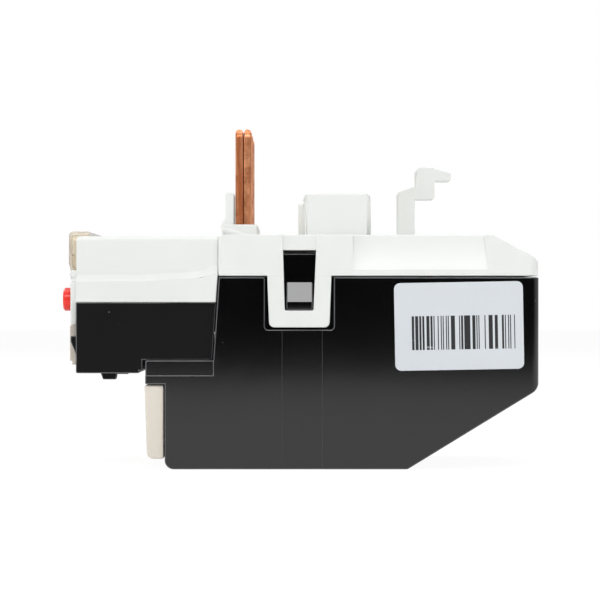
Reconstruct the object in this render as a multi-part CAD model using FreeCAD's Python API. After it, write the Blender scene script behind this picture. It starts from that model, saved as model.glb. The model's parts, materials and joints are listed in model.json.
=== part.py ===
# Plug-in thermal overload relay for a three-pole motor contactor.
# X runs from the operator's side (-X) to the mounting panel (+X), Y runs across the three poles,
# and Z runs up to the contactor that the relay plugs into. The origin is the middle of its footprint.
import FreeCAD, Part
import math
import os

V = FreeCAD.Vector

# ---- Clearances -------------------------------------------------------------------------------
gap = 0.3             # between separate mouldings and round moving parts
slip = 0.1            # between a part and the slot that holds it
shaft_play = 0.05     # radial, between a shaft and its hole
reach_past = 1.0      # how far a cutting solid runs past the face that it cuts
bite = 0.2            # how far a feature reaches into the body that it grows from

# ---- Housing ----------------------------------------------------------------------------------
width = 70.0
rear = 55.1           # face against the panel
front = -31.2         # face of the terminal chambers
housing_top = 44.3
wall = 2.0
partition = 1.6       # between the poles
pole_pitch = 22.0
foot_radius = 2.1
ledge_depth = 4.5     # how far the ledge stands out from the front face
ledge_bottom = 19.6
ledge_top = 25.1
ledge_band = 2.1      # height of the ledge's band that is flush with the sides
ledge_inset = 1.0     # how far the ledge above that band is set back
deck = 2.0            # plate over the terminal chambers
neck_foot = -20.0     # slanted front wall above the ledge, at its foot and head
neck_head = -18.7
heel = 24.8           # where the underside starts to rise to the rear
heel_rise = 18.5      # how high it has risen at the rear face
heel_radius = 3.0
corner_radius = 2.0   # upright rear corners

# ---- Latches between housing and top cover ----------------------------------------------------
tab_left = -7.6
tab_right = 7.3
tab_bottom = 32.7
tab_taper = 0.5
tab_thick = 1.5
tab_root = 0.5        # how far its outline reaches up into the cover
tab_corner = 1.25
window_left = -3.9
window_right = 3.7
window_bottom = 36.6
window_top = 50.5
window_taper_left = 0.4
window_taper_right = 0.6
catch_land = 1.9      # upright part of the catch, under its ramp
catch_ramp = 4.5
catch_proud = 1.4
catch_side_room = 0.76
upstand_top = 50.3    # inner wall that backs the latch
strip_left = -4.1     # shallow strip on the side below the latch
strip_right = 5.1
strip_depth = 0.2

# ---- Top cover --------------------------------------------------------------------------------
cover_front = -18.9
cover_rear = 55.0
cover_bottom = 44.6
cover_top = 54.1
cover_wall = 1.8
slope_start = 44.4    # rear top edge slopes down from here
slope_end = 48.4
slope_thinning = 0.5  # how much further forward the slope starts inside
slope_drop = 1.0      # and how much lower it ends
scoop_left = 12.3
scoop_right = 42.5
scoop_bottom = 45.9
scoop_inset = 4.0
scoop_radius = 9.1
collar_front = -18.3
collar_rear = -10.0
collar_rise = 2.5
collar_half = 6.2
sunk = 0.5            # how far what stands on the cover reaches into its top
post_gap = 0.35       # between a pin and the post in front of it
post_thick = 1.9
post_flare = 1.0
post_flare_high = 2.0
post_top = 64.0
post_half = 5.2
tower_front = 0.8
tower_rear = 16.5
tower_top = 63.6
tower_inner = 21.0
tower_outer = 31.0
tower_draft = 0.2
tower_corner = 1.2
web_ahead = 1.2       # how far the web stands in front of the towers
web_tuck = 2.0        # how far its ends reach into them
web_thick = 1.6
web_top = 61.6
groove_depth = 0.8

# ---- Hook that hangs the relay on the contactor -----------------------------------------------
hook_front = 23.4
hook_thick = 4.0
hook_step = 66.3
hook_head = 27.8
hook_rear = 32.1
hook_under = 63.1
hook_top = 70.7
hook_tip = 36.0
hook_tip_root = 0.6   # from the head's rear face to where the tip begins
hook_tip_slope = 0.5
hook_tip_bottom = 67.5
hook_tip_thick = 1.9
hook_half = 6.0
hook_flange = 1.7
flange_along = 3.0    # how far the flange reaches past the stem, along X and across
flange_across = 2.0

# ---- Conductors -------------------------------------------------------------------------------
pin_front = -15.05
pin_thick = 3.75
pin_width = 8.0
pin_top = 78.8
pin_slit = 0.15
leaf_rounding = 0.48  # edge radius of a leaf, as a share of its thickness
pin_corner = 2.0
line_strip_thick = 1.5
line_strip_bottom = 46.0
line_tail = 29.5      # upright end of the line strip, at its front
line_tail_bottom = 33.0
line_bend = 1.5
bimetal_front = 13.0
bimetal_wide = 8.0
bimetal_thick = 1.2
bimetal_top = 41.0
bar_thick = 2.0
bar_width = 10.0
bar_front = -21.0
bar_riser = 4.0       # front of the bar's second upright run
bar_foot = 3.0        # underside of the run that carries the bimetal
bar_end_clear = 1.0   # between the bar's front end and the chamber's floor
heater_wire = 0.6
heater_height = 1.8
heater_pitch = 3.8
heater_lead = 1.0     # thickness of the lead along the line strip
heater_turns = 7
heater_room = 1.5     # between the bimetal and its winding, each way along X
heater_swing = 1.7    # and along Y, where the bimetal bends

# ---- Load terminals ---------------------------------------------------------------------------
terminal_z = 11.0
terminal_side_room = 1.8   # between a clamp and its chamber's sides
terminal_rear = -6.9
screw_d = 6.0
screw_head_d = 9.0
screw_head_thick = 2.3
slot_wide = 1.4
slot_deep = 1.3
cage_wall = 2.0
cage_front = -25.4
cage_rear = -7.5
cage_half = 7.2
cage_height = 12.0
cable_half = 6.5
shroud_front = -35.9
shroud_bottom = 2.4
shroud_top = 19.4
shroud_wall = 1.5
shroud_inset = 1.0
shroud_lean = 0.6     # how far its face leans back at the bottom
tube_start = 1.0      # from its face to where the screws' tubes begin
access_d = 7.0

# ---- Control module in front of the housing ---------------------------------------------------
module_front = -51.8
module_bottom = 22.1
module_split = 38.5   # between the base and the cover
module_top = 53.8
module_wall = 1.8
module_half = 33.0
module_upper_half = 31.2
module_ridge = 43.5   # where the cover's wider lower part ends
module_ridge_rise = 1.4
ridge_bend = -22.7    # where the ridge bends up towards the top cover
ridge_climb = 0.8     # how far it has risen there
ridge_end_climb = 2.5
ridge_bend_radius = 8.0
flare_start = -35.6   # from here the lower part widens to the housing's sides
flare_short = 0.4     # how far it stays inside them
step_x = -36.4        # front of the ledge that the base rests over
plate_thick = 1.4     # front plate of the cover
plate_bottom = 33.3
plate_top = 43.4
plate_half = 30.7
sill_top = 34.0       # top of the base's front wall
block_proud = 1.9
block_bottom = 23.9
block_half = 25.0
block_step = 0.5      # step at the foot of its face
block_step_high = 0.9
foot_front = -46.3
foot_rear = -42.4
foot_drop = 1.5
foot_lean = 0.6
foot_y = 30.0         # outer side of each foot
foot_wide = 4.0
notch_long = 0.8      # notch in the underside, in front of the housing's ledge
notch_high = 0.6
lug_bottom = 26.0
lug_knee = 29.4
lug_top = 30.7
lug_proud = 1.4
lug_half = 2.0
lug_y = 28.5
fixing_y = 28.0
fixing_z = 31.0
fixing_d = 2.8
fixing_head_d = 5.0
fixing_head_thick = 1.8
fixing_reach = 2.0    # how far the screws come out of the housing's wall

# ---- Flap over the setting dial ---------------------------------------------------------------
flap_front = -53.6
flap_thick = 0.8
flap_half = 29.8
flap_lip = 4.7
flap_top = 54.9
hinge_x = -52.5
hinge_z = 44.9
knuckle_r = 0.6
knuckle_back = 0.4    # how far the flap reaches behind the hinge's axis
flap_flare_low = 0.6  # above the hinge's axis, where its face begins to step out
flap_flare_high = 2.6 # and where it has reached the front
flap_flare_in = 0.5
hinge_pin_r = 0.45
ear_thick = 1.3
ear_foot = 0.2        # height of the ears over the front plate
ear_crown = 0.4       # and over the knuckles
stub_root = 1.0       # how far the stub pins reach into the flap

# ---- Controls ---------------------------------------------------------------------------------
button_z = 39.2
button_y = 26.0
button_d = 5.4
button_front = -55.1
button_bevel = 0.4
button_flange_d = 7.0
button_flange = 1.0
stem_d = 2.6
cap_end = 2.0         # thickness of the reset cap in front of its plunger
cap_slot_deep = 0.7
cap_slot_half = 0.5
stem_end = -41.5
seat_x = -40.0        # front of the rib behind the return springs
seat_thick = 1.5
seat_half = 4.0
seat_top = 43.0
spring_d = 4.6
spring_wire = 0.5
spring_turns = 5
spring_sides = 8
dial_y = 12.0
dial_z = 48.0
dial_d = 7.0
dial_flange_d = 7.8
dial_flange = 0.9
dial_front = -51.6
dial_thick = 2.0
dial_shaft_d = 3.0
dial_slot_wide = 1.0
dial_slot_deep = 1.0
dial_slot_short = 1.0 # between the slot's ends and the dial's rim
cam_front = -36.0
cam_thick = 4.0
cam_d = 4.6
cam_throw = 0.5
test_y = -12.0
test_length = 6.0
test_height = 3.0
test_travel = 2.0
test_front = -51.9
test_back_thick = 1.0
test_back_long = 3.0  # how far its back plate reaches past the grip, along and up
test_back_high = 1.0
test_notch_deep = 0.4
test_notch_pitch = 1.4
test_notch_half = 0.3

# ---- Auxiliary contacts -----------------------------------------------------------------------
aux_pitch = 12.0
aux_z = 29.0
aux_screw_d = 3.5
aux_head_d = 5.6
aux_head_thick = 2.2
aux_head_front = -51.3
aux_screw_end = -40.5
aux_washer = 6.4
aux_washer_thick = 1.0
aux_plate_front = -44.3
aux_plate_thick = 1.5
aux_plate_half = 3.4
aux_plate_bottom = 25.0
aux_plate_crown = 1.0 # how much further it reaches up than to the sides
aux_leg_half = 2.0
aux_entry_deep = 4.3  # way in for a control wire, from below
aux_entry_wide = 5.2
shelf_deep = 3.0      # shelf that backs the auxiliary plates
shelf_rise = 1.2
contact_z = 38.0
contact_d = 2.6
contact_thick = 0.8
contact_gap = 2.0
contact_touch = 0.05
leg_top = 40.5
bridge_thick = 0.8
bridge_height = 3.0
hanger_half = 2.0
carrier_front = -43.0
carrier_rear = -34.5
carrier_bottom = 41.2
carrier_height = 2.6
carrier_half = 20.5
carrier_peg_clear = 0.5   # between the carrier's peg and the trip lever

# ---- Trip mechanism ---------------------------------------------------------------------------
slide_thick = 1.2
slide_half_x = 10.0   # half the slides' size along X
slide_reach = 28.0    # half their length across the poles
slide_travel = 3.0
slide_above = 0.5     # over the bimetals' tips
lag_slide_start = 2.0 # how much shorter the upper slide is at either end
lag_slide_end = 4.0
finger_thick = 1.2
finger_drop = 3.4
finger_wide = 6.0
tongue_y = 3.0
tongue_half = 2.0
lever_pivot_x = -32.0
lever_arm = 9.5
lever_short_arm = 6.25
lever_hub_d = 6.0
lever_thick = 2.0
lever_bottom = 38.8
lever_width = 2.0
pivot_d = 2.4
pivot_sunk = 10.0     # how far below the lever the pin reaches into its boss
boss_d = 6.0
peg_d = 2.0
peg_clear = 0.4       # between the slide's peg and the trip lever's arm
strip_thick = 1.0     # compensation strip
strip_past = 1.0      # how far it reaches past the peg
root_reach = 1.0      # lever's grip on the strip, past its hub
root_half = 1.4
link_length = 9.0     # differential lever, pivot to tip
link_width = 3.0
link_pin_d = 1.6
link_stud = 7.5       # from the lever's pivot to the stud that pushes it
link_stud_d = 1.2
link_away = 3.0       # from the slide's edge to the lever's pivot
link_aside = 1.0
link_ear_half = 2.0

# ---- Places that follow from the sizes above --------------------------------------------------
half_width = width / 2
pole_y = [-pole_pitch, 0.0, pole_pitch]
ledge_front = front - ledge_depth
neck_lean = (neck_head - neck_foot) / (housing_top - ledge_top)
collar_top = cover_top + collar_rise
pin_rear = pin_front + pin_thick
bimetal_mid = bimetal_front + bimetal_wide / 2
bar_top = ledge_bottom - slip
bar_seat = bar_foot + bar_thick
tab_face = half_width - tab_thick - slip
flange_front = module_front + module_wall + slip
aux_count = 4
aux_y = [aux_pitch * (i - (aux_count - 1) / 2) for i in range(aux_count)]
slide_bottom = bimetal_top + slide_above
upper_slide_bottom = slide_bottom + slide_thick + gap
lever_pivot_y = tongue_y + peg_d / 2 + peg_clear + lever_width / 2
aux_plate_rear = aux_plate_front + aux_plate_thick
bridge_front = aux_plate_rear + contact_thick + contact_touch
drive_finger_y = bimetal_thick / 2 + gap
lag_finger_y = -bimetal_thick / 2 - gap - slide_travel - finger_thick
link_x = bimetal_mid - slide_half_x - link_away
link_y = -pole_pitch - link_aside
link_bottom = upper_slide_bottom + slide_thick + gap


# ---- Small tools ------------------------------------------------------------------------------
def block(x0, x1, y0, y1, z0, z1):
    return Part.makeBox(x1 - x0, y1 - y0, z1 - z0, V(x0, y0, z0))


def rod_x(x0, x1, y, z, d):
    return Part.makeCylinder(d / 2, x1 - x0, V(x0, y, z), V(1, 0, 0))


def rod_y(y0, y1, x, z, d):
    return Part.makeCylinder(d / 2, y1 - y0, V(x, y0, z), V(0, 1, 0))


def rod_z(z0, z1, x, y, d):
    return Part.makeCylinder(d / 2, z1 - z0, V(x, y, z0), V(0, 0, 1))


def rounded_outline(corners, place):
    """A closed face through corners (a, b, radius); place turns a flat point into a point in space."""
    starts, middles, ends = [], [], []
    for i, (a, b, radius) in enumerate(corners):
        here = V(a, b, 0)
        after = corners[(i + 1) % len(corners)]
        back = (V(corners[i - 1][0], corners[i - 1][1], 0) - here).normalize()
        ahead = (V(after[0], after[1], 0) - here).normalize()
        half_angle = back.getAngle(ahead) / 2
        reach = radius / math.tan(half_angle)
        middle = (back + ahead).normalize() * (radius / math.sin(half_angle) - radius)
        starts.append(place(here + back * reach))
        middles.append(place(here + middle))
        ends.append(place(here + ahead * reach))
    edges = []
    for i, corner in enumerate(corners):
        if corner[2] > 0:
            edges.append(Part.Arc(starts[i], middles[i], ends[i]).toShape())
        edges.append(Part.LineSegment(ends[i], starts[(i + 1) % len(corners)]).toShape())
    return Part.Face(Part.Wire(edges))


def side_prism(corners, y0, y1):
    """Outline seen from the side, in X and Z, run along Y."""
    face = rounded_outline(corners, lambda p: V(p.x, y0, p.y))
    return face.extrude(V(0, y1 - y0, 0))


def plan_prism(corners, z0, z1):
    """Outline seen from above, in X and Y, run along Z."""
    face = rounded_outline(corners, lambda p: V(p.x, p.y, z0))
    return face.extrude(V(0, 0, z1 - z0))


def front_prism(corners, x0, x1):
    """Outline seen from the front, in Y and Z, run along X."""
    face = rounded_outline(corners, lambda p: V(x0, p.x, p.y))
    return face.extrude(V(x1 - x0, 0, 0))


def rectangle(a0, a1, b0, b1, radius=0.0):
    return [(a0, b0, radius), (a1, b0, radius), (a1, b1, radius), (a0, b1, radius)]


def fused(parts):
    return parts[0].multiFuse(parts[1:]).removeSplitter()


def mirrored(shape):
    """The same thing on the other side of the middle plane."""
    return shape.mirror(V(0, 0, 0), V(0, 1, 0))


def both_sides(shape):
    return [shape, mirrored(shape)]


def slotted_screw(x0, head, head_thick, shank, end, y, z):
    """Slotted screw that lies along X with its head's face at x0."""
    screw = rod_x(x0, x0 + head_thick, y, z, head).fuse(rod_x(x0, end, y, z, shank))
    slot = block(x0 - reach_past, x0 + slot_deep, y - head, y + head, z - slot_wide / 2, z + slot_wide / 2)
    return screw.cut(slot).removeSplitter()


def spring(x0, x1, y, z):
    """Compression spring along X: square wire on a many-sided helix, so that it stays light."""
    steps = spring_turns * spring_sides
    outer = spring_d / 2
    inner = outer - spring_wire
    rings = []
    for i in range(steps + 1):
        turn = 2 * math.pi * i / spring_sides
        low = x0 + (x1 - x0 - spring_wire) * i / steps
        high = low + spring_wire
        rings.append([V(x, y + r * math.cos(turn), z + r * math.sin(turn))
                      for x, r in ((low, inner), (high, inner), (high, outer), (low, outer))])
    triangles = [(rings[0][0], rings[0][1], rings[0][2]), (rings[0][0], rings[0][2], rings[0][3]),
                 (rings[-1][0], rings[-1][2], rings[-1][1]), (rings[-1][0], rings[-1][3], rings[-1][2])]
    for here, ahead in zip(rings, rings[1:]):
        for k in range(4):
            a, b, c, d = here[k], here[(k + 1) % 4], ahead[(k + 1) % 4], ahead[k]
            triangles += [(a, c, b), (a, d, c)]
    faces = [Part.Face(Part.makePolygon([a, b, c, a])) for a, b, c in triangles]
    solid = Part.Solid(Part.Shell(faces))
    if solid.Volume < 0:
        solid.reverse()
    return solid


# ---- Housing ----------------------------------------------------------------------------------
def neck_x(z):
    """Outer face of the slanted front wall at height z."""
    return neck_foot + neck_lean * (z - ledge_top)


def pole_room(pole):
    """Lower and upper side of the chamber of one pole."""
    y = pole_y[pole]
    low = -half_width + wall if pole == 0 else y - (pole_pitch - partition) / 2
    high = half_width - wall if pole == len(pole_y) - 1 else y + (pole_pitch - partition) / 2
    return low, high


def chamber(pole):
    """Space of one pole's heater and bimetal, open at the top."""
    low, high = pole_room(pole)
    length = math.hypot(rear - heel, heel_rise)
    shift_x = wall * heel_rise / length
    shift_z = wall * (rear - heel) / length
    climb = heel_rise / (rear - heel)
    heel_in = heel - shift_x + (wall - shift_z) / climb
    rise_in = shift_z + (rear - wall - heel + shift_x) * climb
    top = housing_top + reach_past
    corners = [
        (terminal_rear + partition, wall, 0),
        (terminal_rear + partition, ledge_bottom + deck, 0),
        (neck_x(ledge_bottom + deck) + wall, ledge_bottom + deck, 0),
        (neck_x(top) + wall, top, 0),
        (rear - wall, top, 0),
        (rear - wall, rise_in, 0),
        (heel_in, wall, 0),
    ]
    return side_prism(corners, low, high)


def terminal_room(y):
    """Chamber of one load terminal, with its cable entry, screw hole and way through for the bar."""
    half = cage_half + terminal_side_room
    room = block(front + wall, terminal_rear, y - half, y + half, wall, ledge_bottom)
    cable = block(bar_front + bar_thick, cage_rear - cage_wall, y - cable_half, y + cable_half,
                  -reach_past, wall + reach_past)
    screw = rod_x(front - reach_past, front + wall + reach_past, y, terminal_z, screw_head_d + 2 * gap)
    bar_half = bar_width / 2 + slip
    way = block(terminal_rear - reach_past, terminal_rear + partition + reach_past,
                y - bar_half, y + bar_half, bar_top - bar_thick - slip, ledge_bottom)
    return [room, cable, screw, way]


def latch_seat():
    """Inner pad behind one latch tab, with the upstand that backs the latch's window."""
    inner = tab_face - wall
    pad = block(tab_left - wall, tab_right + wall, -half_width + wall / 2, -inner,
                tab_bottom - wall, housing_top)
    upstand = block(window_left - gap, window_right + gap, -half_width + cover_wall + gap, -inner,
                    tab_bottom, upstand_top)
    return pad.fuse(upstand)


def latch_recess():
    recess_top = housing_top + reach_past
    corners = [
        (tab_left - tab_taper, recess_top, 0),
        (tab_left - tab_taper, tab_bottom - tab_taper, 0.8),
        (tab_right + tab_taper, tab_bottom - tab_taper, 0.8),
        (tab_right + tab_taper, recess_top, 0),
    ]
    return side_prism(corners, -half_width - reach_past, -tab_face)


def catch():
    """Wedge that the latch tab snaps over."""
    land = window_bottom + slip
    corners = [
        (-tab_face, land, 0),
        (-tab_face, land + catch_land + catch_ramp, 0),
        (-tab_face - catch_proud, land + catch_land, 0),
        (-tab_face - catch_proud, land, 0),
    ]
    return front_prism(corners, window_left + catch_side_room, window_right - catch_side_room)


def main_housing():
    body = side_prism([
        (front, 0, foot_radius),
        (front, ledge_bottom, 0),
        (ledge_front, ledge_bottom, 0),
        (ledge_front, ledge_top, 0.4),
        (neck_foot, ledge_top, 0),
        (neck_head, housing_top, 0),
        (rear, housing_top, 0),
        (rear, heel_rise, heel_radius),
        (heel, 0, 0),
    ], -half_width, half_width)
    plan = plan_prism([
        (ledge_front - reach_past, -half_width, 0),
        (rear, -half_width, corner_radius),
        (rear, half_width, corner_radius),
        (ledge_front - reach_past, half_width, 0),
    ], -reach_past, housing_top + reach_past)
    body = body.common(plan)
    cuts = [chamber(pole) for pole in range(len(pole_y))]
    for y in pole_y:
        cuts += terminal_room(y)
    inset = block(ledge_front - reach_past, neck_foot - slip, -half_width - reach_past,
                  -half_width + ledge_inset, ledge_bottom + ledge_band, ledge_top + reach_past)
    cuts += both_sides(inset)
    slide_room = block(bimetal_mid - slide_half_x - gap, bimetal_mid + slide_half_x + gap,
                       -pole_pitch, pole_pitch, slide_bottom - finger_drop - gap, housing_top + reach_past)
    cuts.append(slide_room)
    body = body.cut(cuts)
    body = body.fuse(both_sides(latch_seat()))
    shallow = block(strip_left, strip_right, -half_width - reach_past, -half_width + strip_depth,
                    -reach_past, tab_bottom)
    tongue_way = block(neck_foot - reach_past, neck_head + wall + reach_past, tongue_y - tongue_half - gap,
                       tongue_y + tongue_half + slide_travel + gap,
                       slide_bottom - gap, slide_bottom + slide_thick + gap)
    fixings = [rod_x(neck_foot - reach_past, neck_head + wall + reach_past, side * fixing_y, fixing_z,
                     fixing_d) for side in (-1, 1)]
    body = body.cut(both_sides(latch_recess()) + both_sides(shallow) + [tongue_way] + fixings)
    return body.fuse(both_sides(catch())).removeSplitter()


# ---- Top cover --------------------------------------------------------------------------------
def cover_shell():
    low = cover_bottom
    body = side_prism([
        (cover_front, low, 0),
        (cover_front, cover_top, 1.2),
        (slope_start, cover_top, 1.5),
        (cover_rear, slope_end, 2.0),
        (cover_rear, low, 0),
    ], -half_width, half_width)
    plan = plan_prism([
        (cover_front, -half_width, 1.2),
        (cover_rear, -half_width, corner_radius),
        (cover_rear, half_width, corner_radius),
        (cover_front, half_width, 1.2),
    ], low - reach_past, cover_top + reach_past)
    body = body.common(plan)
    inner_rear = cover_rear - cover_wall
    inner = side_prism([
        (cover_front + cover_wall, low - reach_past, 0),
        (cover_front + cover_wall, cover_top - cover_wall, 0),
        (slope_start - slope_thinning, cover_top - cover_wall, 0),
        (inner_rear, slope_end - slope_drop, 0),
        (inner_rear, low - reach_past, 0),
    ], -half_width + cover_wall, half_width - cover_wall)
    scoop_wall = block(scoop_left - cover_wall, scoop_right + cover_wall, -half_width,
                       -half_width + scoop_inset + cover_wall, low, cover_top)
    return body.cut(inner.cut(both_sides(scoop_wall)))


def scoop():
    """Hollow grip on one side: a cylinder that lies along X and cuts the side and the top."""
    centre_y = -half_width + scoop_inset - scoop_radius
    drop = math.sqrt(scoop_radius ** 2 - (scoop_radius - scoop_inset) ** 2)
    return rod_x(scoop_left, scoop_right, centre_y, scoop_bottom + drop, 2 * scoop_radius)


def latch_tab():
    """Tab that hangs from one side of the cover, as thick as it is let into the housing."""
    root = cover_bottom + tab_root
    tab = side_prism([
        (tab_left, root, 0),
        (tab_left + tab_taper, tab_bottom, tab_corner),
        (tab_right - tab_taper, tab_bottom, tab_corner),
        (tab_right, root, 0),
    ], -half_width, -half_width + tab_thick)
    return tab


def latch_window():
    window = side_prism([
        (window_left + window_taper_left, window_bottom, 0.4),
        (window_right - window_taper_right, window_bottom, 0.4),
        (window_right, window_top, 0),
        (window_left, window_top, 0),
    ], -half_width - reach_past, -half_width + cover_wall + slip)
    groove = block(window_left, window_right, -half_width - reach_past, -half_width + groove_depth,
                   window_top, cover_top + reach_past)
    return window.fuse(groove)


def pin_guard(y):
    """Collar round one line pin, with the shield post in front of it."""
    collar = block(collar_front, collar_rear, y - collar_half, y + collar_half,
                   cover_top - sunk, collar_top)
    post_rear = pin_front - post_gap
    post_front = post_rear - post_thick
    post = side_prism([
        (post_front - post_flare, collar_top - bite, 0),
        (post_front, collar_top + post_flare_high, 0),
        (post_front, post_top, 0.5),
        (post_rear, post_top, 0.5),
        (post_rear, collar_top - bite, 0),
    ], y - post_half, y + post_half)
    return collar.fuse(post)


def pin_slot(y):
    half = pin_width / 2 + slip
    return block(pin_front - slip, pin_rear + slip, y - half, y + half, cover_bottom, collar_top + reach_past)


def tower():
    """Guide tower on one side, hollow underneath."""
    body = side_prism([
        (tower_front, cover_top - sunk, 0),
        (tower_front + tower_draft, tower_top, 1.0),
        (tower_rear - tower_draft, tower_top, 1.0),
        (tower_rear, cover_top - sunk, 0),
    ], -tower_outer, -tower_inner)
    round_plan = plan_prism(rectangle(tower_front, tower_rear, -tower_outer, -tower_inner, tower_corner),
                            cover_top - reach_past, tower_top + reach_past)
    return body.common(round_plan)


def tower_hollow():
    return block(tower_front + cover_wall, tower_rear - cover_wall, -tower_outer + cover_wall,
                 -tower_inner - cover_wall, cover_bottom, tower_top - cover_wall)


def top_cover():
    web = block(tower_front - web_ahead, tower_front - web_ahead + web_thick, -tower_inner - web_tuck,
                tower_inner + web_tuck, cover_top - sunk, web_top)
    parts = [cover_shell(), web] + both_sides(latch_tab()) + both_sides(tower())
    parts += [pin_guard(y) for y in pole_y]
    body = parts[0].fuse(parts[1:])
    hook_hole = block(hook_front - slip, hook_front + hook_thick + slip, -hook_half - slip,
                      hook_half + slip, cover_bottom, cover_top + reach_past)
    cuts = both_sides(scoop()) + both_sides(latch_window()) + both_sides(tower_hollow()) + [hook_hole]
    cuts += [pin_slot(y) for y in pole_y]
    return body.cut(cuts).removeSplitter()


def mounting_hook():
    stem_rear = hook_front + hook_thick
    flange_top = cover_top - cover_wall - slip
    hook = side_prism([
        (hook_front, flange_top - bite, 0),
        (hook_front, hook_step, 1.0),
        (hook_head, hook_step, 0),
        (hook_head, hook_top, 1.0),
        (hook_rear, hook_top, 0.6),
        (hook_rear + hook_tip_root, hook_tip_bottom + hook_tip_thick, 0),
        (hook_tip, hook_tip_bottom + hook_tip_thick - hook_tip_slope, 0.5),
        (hook_tip, hook_tip_bottom, 0.4),
        (hook_rear, hook_tip_bottom, 0.6),
        (hook_rear, hook_under, 0.5),
        (stem_rear, hook_under, 0),
        (stem_rear, flange_top - bite, 0),
    ], -hook_half, hook_half)
    flange = block(hook_front - flange_along, stem_rear + flange_along, -hook_half - flange_across,
                   hook_half + flange_across, flange_top - hook_flange, flange_top)
    return hook.fuse(flange).removeSplitter()


# ---- Conductors -------------------------------------------------------------------------------
def line_pin(y):
    """Plug-in pin folded from copper strip, and the strip that leads to the heater."""
    leaf = (pin_thick - pin_slit) / 2
    strip_top = line_strip_bottom + line_strip_thick
    leaves = []
    for x in (pin_front, pin_front + leaf + pin_slit):
        leaves.append(side_prism([
            (x, line_strip_bottom, 0),
            (x, pin_top, leaf * leaf_rounding),
            (x + leaf, pin_top, leaf * leaf_rounding),
            (x + leaf, line_strip_bottom, 0),
        ], y - pin_width / 2, y + pin_width / 2))
    blade_plan = front_prism([
        (y - pin_width / 2, line_strip_bottom, 0),
        (y - pin_width / 2, pin_top, pin_corner),
        (y + pin_width / 2, pin_top, pin_corner),
        (y + pin_width / 2, line_strip_bottom, 0),
    ], pin_front, pin_rear)
    blade = leaves[0].fuse(leaves[1]).common(blade_plan)
    strip = side_prism([
        (pin_front, line_strip_bottom, 0),
        (pin_front, strip_top, 0),
        (line_tail + line_strip_thick, strip_top, line_bend),
        (line_tail + line_strip_thick, line_tail_bottom, 0),
        (line_tail, line_tail_bottom, 0),
        (line_tail, line_strip_bottom, 0),
    ], y - pin_width / 2, y + pin_width / 2)
    return blade.fuse(strip).removeSplitter()


def heater(y):
    """Flat wire wound round the bimetal: three level runs and one rising run to each turn."""
    x0 = bimetal_front - heater_room - heater_wire
    x1 = bimetal_front + bimetal_wide + heater_room + heater_wire
    y0 = y - bimetal_thick / 2 - heater_swing - heater_wire
    y1 = y + bimetal_thick / 2 + heater_swing + heater_wire
    runs = []
    for turn in range(heater_turns):
        z = bar_seat + heater_height + turn * heater_pitch
        top = z + heater_height
        runs.append(block(x1 - heater_wire, x1, y0, y1, z, top))
        runs.append(block(x0, x1, y0, y0 + heater_wire, z, top))
        runs.append(block(x0, x0 + heater_wire, y0, y1, z, top))
        if turn < heater_turns - 1:
            runs.append(side_prism([
                (x0, z, 0),
                (x0, top, 0),
                (x1, top + heater_pitch, 0),
                (x1, z + heater_pitch, 0),
            ], y1 - heater_wire, y1))
    last = bar_seat + heater_height + (heater_turns - 1) * heater_pitch
    lead_half = heater_height
    runs.append(block(x0, line_tail, y1 - heater_wire, y1, last, last + heater_height))
    runs.append(block(line_tail - heater_lead, line_tail, y - lead_half, y1, last, last + heater_height * 2))
    runs.append(block(x1 - heater_wire, x1, y - lead_half, y + lead_half,
                      bar_seat, bar_seat + 2 * heater_height))
    return fused(runs)


def bimetal(y):
    """Strip that bends towards +Y as its winding warms it."""
    half = bimetal_thick / 2
    return block(bimetal_front, bimetal_front + bimetal_wide, y - half, y + half, bar_seat, bimetal_top)


def load_bar(y):
    """Bent bar from the terminal, over the clamp, down and under the bimetal."""
    t = bar_thick
    foot_end = bimetal_front + bimetal_wide + heater_room + heater_wire
    return side_prism([
        (bar_front, wall + bar_end_clear, 0),
        (bar_front, bar_top, t),
        (bar_riser + t, bar_top, t),
        (bar_riser + t, bar_seat, 0),
        (foot_end, bar_seat, 0),
        (foot_end, bar_foot, 0),
        (bar_riser, bar_foot, 0),
        (bar_riser, bar_top - t, 0),
        (bar_front + t, bar_top - t, 0),
        (bar_front + t, wall + bar_end_clear, 0),
    ], y - bar_width / 2, y + bar_width / 2)


# ---- Load terminals ---------------------------------------------------------------------------
def terminal_screw(y):
    return slotted_screw(front, screw_head_d, screw_head_thick, screw_d, bar_front - shaft_play,
                         y, terminal_z)


def clamp_cage(y):
    """Ring round the bar and the conductor; the screw in its front wall draws it forward."""
    low = terminal_z - cage_height / 2
    high = low + cage_height
    ring = plan_prism(rectangle(cage_front, cage_rear, y - cage_half, y + cage_half, 1.0), low, high)
    hole = plan_prism(rectangle(cage_front + cage_wall, cage_rear - cage_wall,
                                y - cage_half + cage_wall / 2, y + cage_half - cage_wall / 2, 0.5),
                      low - reach_past, high + reach_past)
    thread = rod_x(cage_front - reach_past, cage_front + cage_wall + reach_past, y, terminal_z,
                   screw_d + 2 * shaft_play)
    return ring.cut([hole, thread])


def power_terminal_shroud():
    """Cream cap over the load terminals, with an access hole to each screw."""
    side = half_width - shroud_inset
    rear_x = front - gap
    shell = side_prism([
        (rear_x, shroud_bottom, 0),
        (shroud_front + shroud_lean, shroud_bottom, 1.5),
        (shroud_front, shroud_top, 0.5),
        (rear_x, shroud_top, 0),
    ], -side, side)
    hollow = block(shroud_front + shroud_wall + shroud_lean, rear_x + reach_past, -side + shroud_wall,
                   side - shroud_wall, shroud_bottom + shroud_wall, shroud_top - shroud_wall)
    tubes = [rod_x(shroud_front + tube_start, rear_x, y, terminal_z, access_d + 2 * shroud_wall)
             for y in pole_y]
    holes = [rod_x(shroud_front - reach_past, rear_x + reach_past, y, terminal_z, access_d) for y in pole_y]
    return shell.cut(hollow).fuse(tubes).cut(holes).removeSplitter()


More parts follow.
